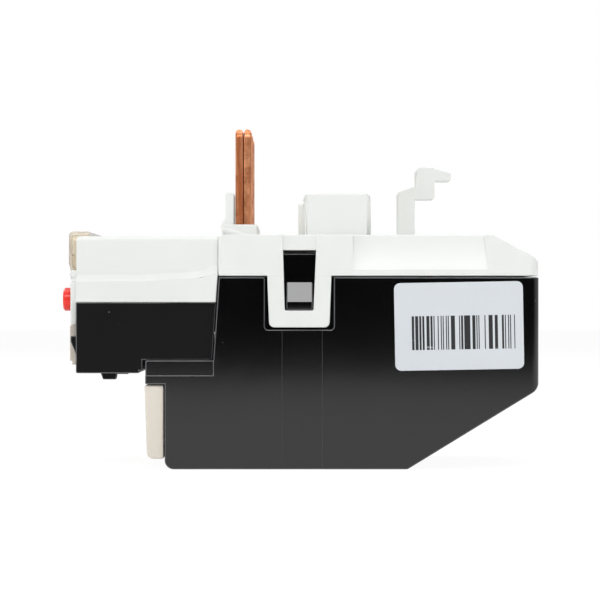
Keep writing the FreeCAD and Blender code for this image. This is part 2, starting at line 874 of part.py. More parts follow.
# ---- Control module ---------------------------------------------------------------------------
def module_base():
    low = ledge_top + slip
    rear_low = neck_x(low) - gap
    rear_high = neck_x(module_split) - gap
    body = side_prism([
        (module_front, module_bottom, 0.4),
        (step_x - notch_long, module_bottom, 0),
        (step_x - notch_long, module_bottom + notch_high, 0),
        (step_x, module_bottom + notch_high, 0),
        (step_x, low, 0),
        (rear_low, low, 0),
        (rear_high, module_split, 0),
        (module_front, module_split, 0),
    ], -module_half, module_half)
    w = module_wall
    hollow = side_prism([
        (module_front + w, module_bottom + w, 0),
        (step_x - w, module_bottom + w, 0),
        (step_x - w, low + w, 0),
        (rear_low - w, low + w, 0),
        (rear_high - w, module_split + reach_past, 0),
        (module_front + w, module_split + reach_past, 0),
    ], -module_half + w, module_half - w)
    body = body.cut(hollow)
    above_sill = block(module_front - reach_past, module_front + w + slip, -plate_half - gap,
                       plate_half + gap, sill_top, module_split + reach_past)
    window = block(module_front - reach_past, module_front + w + reach_past, -block_half - slip,
                   block_half + slip, block_bottom, sill_top + reach_past)
    entries = [block(aux_plate_front - aux_entry_deep, aux_plate_front, y - aux_entry_wide / 2,
                     y + aux_entry_wide / 2, module_bottom - reach_past, module_bottom + w + reach_past)
               for y in aux_y]
    body = body.cut([above_sill, window] + entries)
    foot = side_prism([
        (foot_front, module_bottom + bite, 0),
        (foot_front + foot_lean, module_bottom - foot_drop, foot_lean / 2),
        (foot_rear - foot_lean / 2, module_bottom - foot_drop, foot_lean / 2),
        (foot_rear, module_bottom + bite, 0),
    ], -foot_y, -foot_y + foot_wide)
    lug = side_prism([
        (module_front + bite, lug_bottom, 0),
        (module_front, lug_bottom, 0),
        (module_front - lug_proud, lug_knee, 0),
        (module_front - lug_proud, lug_top, 0),
        (module_front + bite, lug_top, 0),
    ], -lug_y - lug_half, -lug_y + lug_half)
    rib = block(seat_x, seat_x + seat_thick, -button_y - seat_half, -button_y + seat_half,
                module_bottom + w - bite, seat_top)
    boss = rod_z(low + w - bite, lever_bottom - gap, lever_pivot_x, lever_pivot_y, boss_d)
    ledge_shelf = block(aux_plate_rear, aux_plate_rear + shelf_deep, -aux_y[3] - aux_plate_half,
                        aux_y[3] + aux_plate_half, module_bottom + w - bite, aux_plate_bottom + shelf_rise)
    body = body.fuse(both_sides(foot) + both_sides(lug) + both_sides(rib) + [boss, ledge_shelf])
    stem_way = rod_x(seat_x - reach_past, seat_x + seat_thick + reach_past, button_y, button_z,
                     stem_d + 2 * gap)
    pivot_hole = rod_z(lever_bottom - pivot_sunk, lever_bottom + reach_past, lever_pivot_x, lever_pivot_y,
                       pivot_d)
    fixings = [rod_x(rear_low - w - reach_past, rear_high + reach_past, side * fixing_y, fixing_z,
                     fixing_d + 2 * slip)
               for side in (-1, 1)]
    return body.cut(both_sides(stem_way) + [pivot_hole] + fixings).removeSplitter()


def module_screws():
    head_x = neck_foot - gap - module_wall - fixing_head_thick
    end = neck_head + wall + fixing_reach
    return Part.makeCompound([
        slotted_screw(head_x, fixing_head_d, fixing_head_thick, fixing_d, end, side * fixing_y, fixing_z)
        for side in (-1, 1)
    ])


def pivot_pin():
    return rod_z(lever_bottom - pivot_sunk, lever_bottom + lever_thick + slip, lever_pivot_x, lever_pivot_y,
                 pivot_d)


def ridge_outline(z, y):
    """Outline of the cover's lower part at depth y, whose top edge is the ridge at height z."""
    rear_low = neck_x(module_split) - gap
    rear_high = neck_x(cover_bottom) - gap
    return rounded_outline([
        (module_front, module_split, 0),
        (rear_low, module_split, 0),
        (rear_high, cover_bottom, 0),
        (rear_high, z + ridge_end_climb, 0),
        (ridge_bend, z + ridge_climb, ridge_bend_radius),
        (flare_start, z, 0),
        (module_front, z, 0),
    ], lambda p: V(p.x, y, p.y))


def module_side():
    """Wider lower part of one side, whose sloping top follows the ridge, with its flare to the rear."""
    low = ridge_outline(module_ridge, -module_half).OuterWire
    high = ridge_outline(module_ridge + module_ridge_rise, -module_upper_half).OuterWire
    slope = Part.makeLoft([low, high], True, True)
    rear_low = neck_x(module_split) - gap
    rear_high = neck_x(cover_bottom) - gap
    flare_end = -half_width + flare_short
    wedge = plan_prism([
        (flare_start, -module_half + bite, 0),
        (flare_start, -module_half, 0),
        (rear_high, flare_end, 0),
        (rear_high, -module_half + bite, 0),
    ], module_split, cover_bottom + ridge_end_climb)
    below_ridge = ridge_outline(module_ridge, flare_end).extrude(V(0, module_half, 0))
    return slope.fuse(wedge.common(below_ridge))


def module_cover():
    w = module_wall
    rear_low = neck_x(module_split) - gap
    rear_high = neck_x(cover_bottom) - gap
    ridge_top = module_ridge + module_ridge_rise
    section = front_prism(rectangle(-module_upper_half, module_upper_half, module_split - 2 * reach_past,
                                    module_top, 1.0), module_front, rear_high)
    outer = side_prism([
        (module_front, module_split, 0),
        (rear_low, module_split, 0),
        (rear_high, cover_bottom, 0),
        (rear_high, module_top, 0),
        (module_front, module_top, 0.9),
    ], -module_half, module_half)
    body = section.common(outer).fuse(both_sides(module_side()))
    inner_ridge = module_ridge - w / 3
    inner = front_prism([
        (-module_half + w, module_split - reach_past, 0),
        (-module_half + w, inner_ridge, 0),
        (-module_upper_half + w, ridge_top, 0),
        (-module_upper_half + w, module_top - w, 0),
        (module_upper_half - w, module_top - w, 0),
        (module_upper_half - w, ridge_top, 0),
        (module_half - w, inner_ridge, 0),
        (module_half - w, module_split - reach_past, 0),
    ], module_front + w, rear_low - w)
    body = body.cut(inner)
    plate = side_prism([
        (module_front - plate_thick, plate_bottom, 0.3),
        (module_front - plate_thick, plate_top, 0.5),
        (module_front + w, plate_top, 0),
        (module_front + w, sill_top + slip, 0),
        (module_front - slip, sill_top + slip, 0),
        (module_front - slip, plate_bottom, 0),
    ], -plate_half, plate_half)
    ear = block(hinge_x - knuckle_r, module_front + bite, -flap_half - slip - ear_thick, -flap_half - slip,
                plate_top + ear_foot, hinge_z + knuckle_r + ear_crown)
    body = body.fuse([plate] + both_sides(ear))
    pin_way = rod_y(-flap_half - gap - ear_thick, flap_half + gap + ear_thick, hinge_x, hinge_z,
                    2 * (hinge_pin_r + shaft_play))
    buttons = [rod_x(module_front - plate_thick - reach_past, module_front + w + reach_past, side * button_y,
                     button_z, button_d + 2 * gap) for side in (-1, 1)]
    dial_hole = rod_x(module_front - reach_past, module_front + w + reach_past, dial_y, dial_z,
                      dial_d + 2 * slip)
    test_slot = block(module_front - reach_past, module_front + w + reach_past,
                      test_y - test_length / 2 - gap, test_y + test_length / 2 + test_travel + gap,
                      dial_z - test_height / 2 - gap, dial_z + test_height / 2 + gap)
    tongue_way = block(rear_low - w - reach_past, rear_high + reach_past, tongue_y - tongue_half - gap,
                       tongue_y + tongue_half + slide_travel + gap,
                       slide_bottom - gap, slide_bottom + slide_thick + gap)
    return body.cut([pin_way, dial_hole, test_slot, tongue_way] + buttons).removeSplitter()


def aux_terminal_block():
    """Cream block in the base's front, with a well over each auxiliary screw."""
    face = module_front - block_proud
    body = side_prism([
        (face + block_step, block_bottom, 0),
        (face + block_step, block_bottom + block_step_high, 0),
        (face, block_bottom + block_step_high, 0),
        (face, plate_bottom - slip, 0.3),
        (module_front + module_wall, plate_bottom - slip, 0),
        (module_front + module_wall, block_bottom, 0),
    ], -block_half, block_half)
    wells = [rod_x(face - reach_past, module_front + module_wall + reach_past, y, aux_z,
                   aux_head_d + 2 * gap) for y in aux_y]
    return body.cut(wells)


def setting_flap():
    """Clear flap that swings down on two stub pins at its lower edge."""
    t = flap_thick
    lip_end = flap_front + flap_lip
    lip_bottom = module_top + slip
    body = side_prism([
        (hinge_x - knuckle_r, hinge_z - knuckle_r, 0.5),
        (hinge_x - knuckle_r, hinge_z + flap_flare_low, 0),
        (flap_front, hinge_z + flap_flare_high, 1.0),
        (flap_front, flap_top, 1.0),
        (lip_end, flap_top, 0.3),
        (lip_end, lip_bottom, 0),
        (flap_front + t, lip_bottom, 0),
        (flap_front + t, hinge_z + flap_flare_high, 0),
        (hinge_x + knuckle_back, hinge_z + flap_flare_in, 0.3),
        (hinge_x + knuckle_back, hinge_z - knuckle_r, 0.4),
    ], -flap_half, flap_half)
    stub = rod_y(-flap_half - ear_thick, -flap_half + stub_root, hinge_x, hinge_z, 2 * hinge_pin_r)
    return body.fuse(both_sides(stub)).removeSplitter()


# ---- Controls ---------------------------------------------------------------------------------
def setting_dial():
    """Slotted dial on a shaft with an eccentric cam."""
    rear_x = dial_front + dial_thick
    head = rod_x(dial_front, rear_x, dial_y, dial_z, dial_d)
    flange = rod_x(flange_front, flange_front + dial_flange, dial_y, dial_z, dial_flange_d)
    shaft = rod_x(rear_x, cam_front + bite, dial_y, dial_z, dial_shaft_d)
    cam = rod_x(cam_front, cam_front + cam_thick, dial_y + cam_throw, dial_z, cam_d)
    slot_half = dial_d / 2 - dial_slot_short
    slot = block(dial_front - reach_past, dial_front + dial_slot_deep, dial_y - slot_half, dial_y + slot_half,
                 dial_z - dial_slot_wide / 2, dial_z + dial_slot_wide / 2)
    return fused([head, flange, shaft, cam]).cut(slot)


def push_head(y, end):
    """Round head of a push button with a bevelled front edge."""
    head = rod_x(button_front + button_bevel, end, y, button_z, button_d)
    nose = Part.makeCone(button_d / 2 - button_bevel, button_d / 2, button_bevel,
                         V(button_front, y, button_z), V(1, 0, 0))
    return head.fuse(nose)


def push_stem(y):
    """Flange that keeps a button behind the front wall, and its stem."""
    flange = rod_x(flange_front, flange_front + button_flange, y, button_z, button_flange_d)
    return flange.fuse(rod_x(flange_front, stem_end, y, button_z, stem_d))


def stop_button():
    head = push_head(-button_y, flange_front + bite)
    return head.fuse(push_stem(-button_y)).removeSplitter()


def reset_cap():
    """Head that also turns on its plunger, from manual to automatic reset."""
    head = push_head(button_y, flange_front - slip)
    slot = block(button_front - reach_past, button_front + cap_slot_deep, button_y - button_d,
                 button_y + button_d, button_z - cap_slot_half, button_z + cap_slot_half)
    socket = rod_x(button_front + cap_end, flange_front, button_y, button_z, stem_d + 2 * shaft_play)
    return head.cut([slot, socket]).removeSplitter()


def reset_plunger():
    nose = rod_x(button_front + cap_end + slip, flange_front, button_y, button_z, stem_d)
    return push_stem(button_y).fuse(nose).removeSplitter()


def button_spring(side):
    return spring(flange_front + button_flange, seat_x, side * button_y, button_z)


def test_slider():
    """Slide behind a slot in the front wall, with a finger grip in the slot."""
    inside = module_front + module_wall + slip
    grip = block(test_front, inside + bite, test_y - test_length / 2, test_y + test_length / 2,
                 dial_z - test_height / 2, dial_z + test_height / 2)
    half = test_length / 2 + test_back_long
    back = block(inside, inside + test_back_thick, test_y - half, test_y + half,
                 dial_z - test_height / 2 - test_back_high, dial_z + test_height / 2 + test_back_high)
    notches = []
    for k in (-1, 0, 1):
        y = test_y + k * test_notch_pitch
        notches.append(block(test_front - reach_past, test_front + test_notch_deep, y - test_notch_half,
                             y + test_notch_half, dial_z - test_height, dial_z + test_height))
    return grip.fuse(back).cut(notches).removeSplitter()


# ---- Auxiliary contacts -----------------------------------------------------------------------
def aux_screw(y):
    return slotted_screw(aux_head_front, aux_head_d, aux_head_thick, aux_screw_d, aux_screw_end, y, aux_z)


def aux_washer_plate(y):
    """Square washer, kept under its screw's head."""
    x0 = aux_head_front + aux_head_thick
    half = aux_washer / 2
    plate = block(x0, x0 + aux_washer_thick, y - half, y + half, aux_z - half, aux_z + half)
    hole = rod_x(x0 - reach_past, x0 + aux_washer_thick + reach_past, y, aux_z, aux_screw_d + 2 * shaft_play)
    return plate.cut(hole)


def aux_contact(y, closed):
    """Terminal plate of one auxiliary contact with its leg and rivet; an open one reaches further back."""
    front_x = aux_plate_front
    rear_x = aux_plate_rear
    top = aux_z + aux_plate_half + aux_plate_crown
    plate = block(front_x, rear_x, y - aux_plate_half, y + aux_plate_half, aux_plate_bottom, top)
    t = aux_plate_thick
    if closed:
        leg = block(front_x, rear_x, y - aux_leg_half, y + aux_leg_half, top - bite, leg_top)
        rivet = rod_x(rear_x, rear_x + contact_thick, y, contact_z, contact_d)
        parts = [plate, leg, rivet]
    else:
        face = bridge_front + bridge_thick + contact_gap + contact_touch
        shelf_rear = face + contact_thick + t
        shelf = block(front_x, shelf_rear, y - aux_leg_half, y + aux_leg_half, top - t, top)
        leg = block(shelf_rear - t, shelf_rear, y - aux_leg_half, y + aux_leg_half, top - t, leg_top)
        rivet = rod_x(face, face + contact_thick, y, contact_z, contact_d)
        parts = [plate, shelf, leg, rivet]
    hole = rod_x(front_x - reach_past, rear_x + reach_past, y, aux_z, aux_screw_d + 2 * shaft_play)
    return fused(parts).cut(hole)


def contact_bridge(y_low, y_high):
    """Bar that joins two fixed contacts, hung from the contact carrier."""
    x0 = bridge_front
    x1 = x0 + bridge_thick
    bar = block(x0, x1, y_low - contact_d / 2, y_high + contact_d / 2,
                contact_z - bridge_height / 2, contact_z + bridge_height / 2)
    middle = (y_low + y_high) / 2
    hanger = block(x0, x1, middle - hanger_half, middle + hanger_half, contact_z, carrier_bottom)
    return fused([bar, hanger])


def contact_carrier():
    """Slide that holds both bridges and is drawn back by the trip lever."""
    top = carrier_bottom + carrier_height
    beam = block(carrier_front, carrier_rear, -carrier_half, carrier_half, carrier_bottom, top)
    peg_x = lever_pivot_x + lever_width / 2 + carrier_peg_clear + peg_d / 2
    peg_y = lever_pivot_y - lever_short_arm
    tail = block(carrier_rear - bite, peg_x + peg_d / 2, peg_y - peg_d, peg_y + peg_d, carrier_bottom, top)
    peg = rod_z(lever_bottom, carrier_bottom + bite, peg_x, peg_y, peg_d)
    return fused([beam, tail, peg])


# ---- Trip mechanism ---------------------------------------------------------------------------
def slide_plate(z0, y0, y1):
    """Thin plate across the poles."""
    return block(bimetal_mid - slide_half_x, bimetal_mid + slide_half_x, y0, y1, z0, z0 + slide_thick)


def fingers(z0, offset):
    """One finger to each pole, which stands beside the bimetal's tip."""
    return [block(bimetal_mid - finger_wide / 2, bimetal_mid + finger_wide / 2, y + offset,
                  y + offset + finger_thick, slide_bottom - finger_drop, z0) for y in pole_y]


def overload_slide():
    """Slide that the bending bimetals push towards +Y; its tongue works the trip lever."""
    edge = bimetal_mid - slide_half_x
    window_half = finger_wide / 2 + gap
    windows = [block(bimetal_mid - window_half, bimetal_mid + window_half,
                     y + lag_finger_y - slide_travel - gap, y + drive_finger_y,
                     slide_bottom - reach_past, slide_bottom + slide_thick + reach_past) for y in pole_y]
    plate = slide_plate(slide_bottom, -slide_reach, slide_reach).cut(windows)
    tongue = block(lever_pivot_x + lever_arm - peg_d, edge + bite, tongue_y - tongue_half,
                   tongue_y + tongue_half, slide_bottom, slide_bottom + slide_thick)
    peg = rod_z(lever_bottom, slide_bottom + bite, lever_pivot_x + lever_arm, tongue_y, peg_d)
    pivot = rod_z(slide_bottom, link_bottom + slide_thick, link_x, link_y, link_pin_d)
    ear = block(link_x - link_ear_half, edge + bite, link_y - link_ear_half, link_y + link_ear_half,
                slide_bottom, slide_bottom + slide_thick)
    return fused([plate, tongue, peg, ear, pivot] + fingers(slide_bottom + slide_thick, drive_finger_y))


def differential_slide():
    """Slide that the coldest bimetal holds back when a phase is lost; its stud turns the lever."""
    plate = slide_plate(upper_slide_bottom, -slide_reach + lag_slide_start, slide_reach - lag_slide_end)
    stud = rod_z(upper_slide_bottom, link_bottom + slide_thick, link_x + link_stud,
                 link_y + link_width / 2 + gap + link_stud_d / 2, link_stud_d)
    return fused([plate, stud] + fingers(upper_slide_bottom + slide_thick, lag_finger_y))


def differential_lever():
    """Small lever that turns on the overload slide when the other slide lags."""
    top = link_bottom + slide_thick
    arm = plan_prism(rectangle(link_x - link_width / 2, link_x + link_length, link_y - link_width / 2,
                               link_y + link_width / 2, 1.2), link_bottom, top)
    hole = rod_z(link_bottom - reach_past, top + reach_past, link_x, link_y, link_pin_d + 2 * shaft_play)
    return arm.cut(hole)


def trip_lever():
    """Bell crank on the pivot pin: the overload slide turns it, and it draws the contacts back."""
    top = lever_bottom + lever_thick
    hub = rod_z(lever_bottom, top, lever_pivot_x, lever_pivot_y, lever_hub_d)
    half = lever_width / 2
    arm = plan_prism(rectangle(lever_pivot_x - half, lever_pivot_x + half,
                               lever_pivot_y - lever_short_arm - half, lever_pivot_y, 0.6), lever_bottom, top)
    root = block(lever_pivot_x, lever_pivot_x + lever_hub_d / 2 + root_reach, lever_pivot_y - root_half,
                 lever_pivot_y + root_half, lever_bottom, top)
    slot = block(lever_pivot_x + pivot_d, lever_pivot_x + lever_arm, lever_pivot_y - strip_thick / 2,
                 lever_pivot_y + strip_thick / 2, lever_bottom - reach_past, top + reach_past)
    hole = rod_z(lever_bottom - reach_past, top + reach_past, lever_pivot_x, lever_pivot_y,
                 pivot_d + 2 * shaft_play)
    return fused([hub, arm, root]).cut([slot, hole])


def compensation_strip():
    """Second bimetal, which cancels the warmth of the room; the slide's peg pushes its end."""
    half = strip_thick / 2
    return block(lever_pivot_x + pivot_d, lever_pivot_x + lever_arm + strip_past, lever_pivot_y - half,
                 lever_pivot_y + half, lever_bottom, lever_bottom + lever_thick)


# ---- Writing ----------------------------------------------------------------------------------
def model():
    nodes = {
        "main_housing": main_housing(),
        "top_cover": top_cover(),
        "mounting_hook": mounting_hook(),
        "power_terminal_shroud": power_terminal_shroud(),
        "module_base": module_base(),
        "module_cover": module_cover(),
        "module_screws": module_screws(),
        "aux_terminal_block": aux_terminal_block(),
        "setting_flap": setting_flap(),
        "setting_dial": setting_dial(),
        "stop_button": stop_button(),
        "stop_spring": button_spring(-1),
        "reset_cap": reset_cap(),
        "reset_plunger": reset_plunger(),
        "reset_spring": button_spring(1),
        "test_slider": test_slider(),
        "contact_carrier": contact_carrier(),
        "bridge_closed": contact_bridge(aux_y[0], aux_y[1]),
        "bridge_open": contact_bridge(aux_y[2], aux_y[3]),
        "overload_slide": overload_slide(),
        "differential_slide": differential_slide(),
        "differential_lever": differential_lever(),
        "trip_lever": trip_lever(),
        "trip_lever_pin": pivot_pin(),
        "compensation_strip": compensation_strip(),
    }
    for number, y in enumerate(pole_y, 1):
        nodes[f"line_pin_{number}"] = line_pin(y)
        nodes[f"heater_{number}"] = heater(y)
        nodes[f"bimetal_{number}"] = bimetal(y)
        nodes[f"load_bar_{number}"] = load_bar(y)
        nodes[f"terminal_screw_{number}"] = terminal_screw(y)
        nodes[f"clamp_cage_{number}"] = clamp_cage(y)
    for number, y in enumerate(aux_y, 1):
        nodes[f"aux_screw_{number}"] = aux_screw(y)
        nodes[f"aux_washer_{number}"] = aux_washer_plate(y)
        nodes[f"aux_contact_{number}"] = aux_contact(y, number < 3)
    return nodes


os.makedirs("parts", exist_ok=True)
for name, shape in model().items():
    shape.exportStep(f"parts/{name}.step")
    print(name, len(shape.Solids), round(shape.Volume, 1), shape.isValid())
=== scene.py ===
# %% [markdown]
# # A plug-in thermal overload relay
#
# This object is a motor's guard. Three copper pins plug it in under a contactor, the motor's cables
# are clamped at its foot, and inside it three wound bimetal strips bend when the motor takes too much
# current. What shows is mostly moulding: a black housing, a white clip-on cover, cream terminal caps,
# and a small control module with a clear flap.
#
# The working model is already packed, so this script loads it as a fixed frame and gives it its looks:
# softened edges, moulded and rolled surfaces, the sticker on its side, the printed scale, and the
# springs under its buttons.

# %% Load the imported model
import json
import math

import bmesh
import bpy
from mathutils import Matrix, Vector

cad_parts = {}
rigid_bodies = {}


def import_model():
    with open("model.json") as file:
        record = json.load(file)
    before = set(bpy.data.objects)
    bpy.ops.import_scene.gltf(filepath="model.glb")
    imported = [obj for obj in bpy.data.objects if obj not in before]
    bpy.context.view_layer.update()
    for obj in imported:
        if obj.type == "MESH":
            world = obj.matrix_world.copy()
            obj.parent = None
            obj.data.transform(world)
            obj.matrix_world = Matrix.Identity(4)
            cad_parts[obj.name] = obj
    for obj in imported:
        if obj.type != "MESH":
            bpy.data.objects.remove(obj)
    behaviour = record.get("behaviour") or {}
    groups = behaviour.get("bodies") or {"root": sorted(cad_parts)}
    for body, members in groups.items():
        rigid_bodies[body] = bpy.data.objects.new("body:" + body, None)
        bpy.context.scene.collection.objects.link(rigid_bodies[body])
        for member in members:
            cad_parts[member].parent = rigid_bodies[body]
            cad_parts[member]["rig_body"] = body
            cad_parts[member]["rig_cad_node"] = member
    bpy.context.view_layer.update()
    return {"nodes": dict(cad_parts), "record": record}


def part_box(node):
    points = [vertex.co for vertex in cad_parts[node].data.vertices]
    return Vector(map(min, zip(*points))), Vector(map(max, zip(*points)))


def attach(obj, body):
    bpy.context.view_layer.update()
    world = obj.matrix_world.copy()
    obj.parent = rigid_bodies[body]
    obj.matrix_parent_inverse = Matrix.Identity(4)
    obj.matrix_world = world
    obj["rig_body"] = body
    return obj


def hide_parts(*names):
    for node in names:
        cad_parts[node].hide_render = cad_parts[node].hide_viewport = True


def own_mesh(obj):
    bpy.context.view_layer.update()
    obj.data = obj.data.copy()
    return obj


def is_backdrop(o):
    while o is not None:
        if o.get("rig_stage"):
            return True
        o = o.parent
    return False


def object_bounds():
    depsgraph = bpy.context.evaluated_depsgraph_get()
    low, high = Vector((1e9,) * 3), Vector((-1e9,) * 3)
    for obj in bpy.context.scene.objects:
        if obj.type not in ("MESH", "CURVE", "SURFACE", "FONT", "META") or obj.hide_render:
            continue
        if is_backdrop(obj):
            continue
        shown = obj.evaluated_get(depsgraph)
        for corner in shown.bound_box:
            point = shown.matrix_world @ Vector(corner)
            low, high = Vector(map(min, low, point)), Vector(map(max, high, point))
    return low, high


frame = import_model()

# %% [markdown]
# ## Working by hand, in code
#
# Every piece below is made the way a person makes it at the screen: add a primitive, go into edit
# mode, select some of it, and extrude, inset, bevel or scale. An operator acts on whatever is selected,
# so each piece starts from an empty selection, and the helpers here do just that. Lengths are written
# in millimetres and turned into metres once, by MM.

# %% Helpers for modelling
MM = 0.001


def start_clean():
    """Nothing selected and no edit mode left open."""
    if bpy.context.object and bpy.context.object.mode != "OBJECT":
        bpy.ops.object.mode_set(mode="OBJECT")
    bpy.ops.object.select_all(action="DESELECT")


def activate(piece):
    start_clean()
    piece.select_set(True)
    bpy.context.view_layer.objects.active = piece


def named(piece, name):
    piece.name = name
    piece.data.name = name
    return piece


def settle(piece):
    """The object goes to the origin, unturned and unscaled; its place stays in its mesh."""
    activate(piece)
    bpy.ops.object.transform_apply(location=True, rotation=True, scale=True)
    return piece


def pick(piece, wanted, kind="FACE"):
    """In edit mode, selects the faces, edges or vertices for which wanted(element) is true."""
    activate(piece)
    bpy.ops.object.mode_set(mode="EDIT")
    bpy.ops.mesh.select_mode(type=kind)
    bpy.ops.mesh.select_all(action="DESELECT")
    mesh = bmesh.from_edit_mesh(piece.data)
    for element in {"FACE": mesh.faces, "EDGE": mesh.edges, "VERT": mesh.verts}[kind]:
        element.select_set(bool(wanted(element)))
    mesh.select_flush_mode()
    bmesh.update_edit_mesh(piece.data)


def leave_edit():
    bpy.ops.object.mode_set(mode="OBJECT")


def face_outwards(piece):
    """Turns every face so that its front looks out of the solid."""
    activate(piece)
    bpy.ops.object.mode_set(mode="EDIT")
    bpy.ops.mesh.select_all(action="SELECT")
    bpy.ops.mesh.normals_make_consistent(inside=False)
    leave_edit()


def apply_all(piece):
    activate(piece)
    for modifier in list(piece.modifiers):
        bpy.ops.object.modifier_apply(modifier=modifier.name)
    return piece


def smooth(piece, degrees):
    activate(piece)
    bpy.ops.object.shade_smooth_by_angle(angle=math.radians(degrees))
    return piece


def finished(piece, name, material, body, slot, *stands_for):
    """Names a piece and gives it its body and, where one is given, its material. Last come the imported
    nodes that it stands for."""
    settle(named(piece, name))
    if material:
        piece.data.materials.clear()
        piece.data.materials.append(material)
    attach(piece, body)
    if stands_for:
        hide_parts(*stands_for)
    start_clean()
    return piece


print("helpers ready")

# %% [markdown]
# ## Shader maths that reads like maths
#
# A node tree drawn by mouse is easy to see and hard to write down. Wrapping a socket in a small class
# lets Python's own operators add the Math nodes, so a wear mask can be written as an expression. Any
# other node comes from one method, which first sets the node's own settings and then its sockets.

# %% A class for sockets
class Wire:
    """One output socket, with arithmetic."""

    def __init__(self, tree, socket):
        self.tree = tree
        self.socket = socket

    def node(self, kind, settings=None, out=0, **sockets):
        return add_node(self.tree, kind, settings, out, **sockets)

    def maths(self, operation, *values):
        made = self.tree.nodes.new("ShaderNodeMath")
        made.operation = operation
        for place, value in zip(made.inputs, values):
            feed(self.tree, place, value)
        return Wire(self.tree, made.outputs[0])

    def __add__(self, other):
        return self.maths("ADD", self, other)

    __radd__ = __add__

    def __sub__(self, other):
        return self.maths("SUBTRACT", self, other)

    def __rsub__(self, other):
        return self.maths("SUBTRACT", other, self)

    def __mul__(self, other):
        return self.maths("MULTIPLY", self, other)

    __rmul__ = __mul__

    def __gt__(self, other):
        return self.maths("GREATER_THAN", self, other)

    def between(self, low, high):
        """1 from low to high and 0 outside."""
        return (self > low) * (1.0 - (self > high))

    def spread(self, low, high):
        """0 below low, 1 above high, and a straight line between."""
        made = self.tree.nodes.new("ShaderNodeMapRange")
        made.clamp = True
        feed(self.tree, made.inputs["Value"], self)
        made.inputs["From Min"].default_value = low
        made.inputs["From Max"].default_value = high
        return Wire(self.tree, made.outputs["Result"])


def feed(tree, socket, value):
    if isinstance(value, Wire):
        tree.links.new(value.socket, socket)
    elif isinstance(value, tuple) and len(value) == 3 and socket.type == "RGBA":
        socket.default_value = (*value, 1.0)
    else:
        socket.default_value = value


def add_node(tree, kind, settings=None, out=0, **sockets):
    """Any node: its settings, then the values or wires of its sockets (spaces written as _)."""
    made = tree.nodes.new(kind)
    for key, value in (settings or {}).items():
        if key == "stops":
            ramp = made.color_ramp
            while len(ramp.elements) < len(value):
                ramp.elements.new(0.5)
            for stop, (place, colour) in zip(ramp.elements, value):
                stop.position = place
                stop.color = (*colour, 1.0)
        else:
            setattr(made, key, value)
    for key, value in sockets.items():
        label = key.replace("_", " ")
        socket = next(s for s in made.inputs if s.name == label and s.enabled)
        feed(tree, socket, value)
    return None if out is None else Wire(tree, made.outputs[out])


def srgb(red, green, blue):
    """A colour as it is read off a screen, 0 to 255, turned into the light values that shaders use."""
    def linear(value):
        share = value / 255
        return share / 12.92 if share <= 0.04045 else ((share + 0.055) / 1.055) ** 2.4
    return (linear(red), linear(green), linear(blue))


print("white plastic is", [round(v, 3) for v in srgb(236, 238, 235)])

# %% [markdown]
# ## Moulded plastic
#
# Nearly everything that shows is injection-moulded polyamide. Its finish comes from the mould: a fine
# spark-eroded grain that takes the shine off, a slow unevenness where the melt cooled, and a few
# specks of dust that settle on a dark part. One recipe makes all the mouldings, and each plastic gives
# it a colour, a grain and a shine. Roughness and height change over the surface, and the shine's
# strength stays one number, because it is the same everywhere.

# %% Moulded plastics
def new_material(name):
    material = bpy.data.materials.new(name)
    material.use_nodes = True
    material.node_tree.nodes.clear()
    return material, material.node_tree


def place_of(tree):
    """Object coordinates, in metres in the relay's own frame."""
    return add_node(tree, "ShaderNodeTexCoord", out=3)


def axes(tree, where):
    """The X, Y and Z of a place, in millimetres."""
    parts = tree.nodes.new("ShaderNodeSeparateXYZ")
    feed(tree, parts.inputs[0], where)
    return [Wire(tree, parts.outputs[i]) * (1 / MM) for i in range(3)]


def noise(tree, where, scale, detail=2.0, roughness=0.5):
    return add_node(tree, "ShaderNodeTexNoise", None, 0, Vector=where, Scale=scale,
                    Detail=detail, Roughness=roughness)


def mixed(tree, share, first, second):
    """Two colours mixed by share."""
    made = tree.nodes.new("ShaderNodeMix")
    made.data_type = "RGBA"
    feed(tree, made.inputs[0], share)
    feed(tree, made.inputs[6], first)
    feed(tree, made.inputs[7], second)
    return Wire(tree, made.outputs[2])


def surface(material, tree, **sockets):
    """The Principled surface, joined to the output."""
    shader = add_node(tree, "ShaderNodeBsdfPrincipled", None, 0, **sockets)
    add_node(tree, "ShaderNodeOutputMaterial", None, None, Surface=shader)
    return material


def shader_mix(tree, share, first, second):
    """Joins two shaders to the output, mixed by share."""
    both = tree.nodes.new("ShaderNodeMixShader")
    feed(tree, both.inputs[0], share)
    tree.links.new(first.socket, both.inputs[1])
    tree.links.new(second.socket, both.inputs[2])
    end = tree.nodes.new("ShaderNodeOutputMaterial")
    tree.links.new(both.outputs[0], end.inputs["Surface"])


def bump(tree, height, strength, distance):
    return add_node(tree, "ShaderNodeBump", None, 0, Height=height, Strength=strength,
                    Distance=distance * MM)


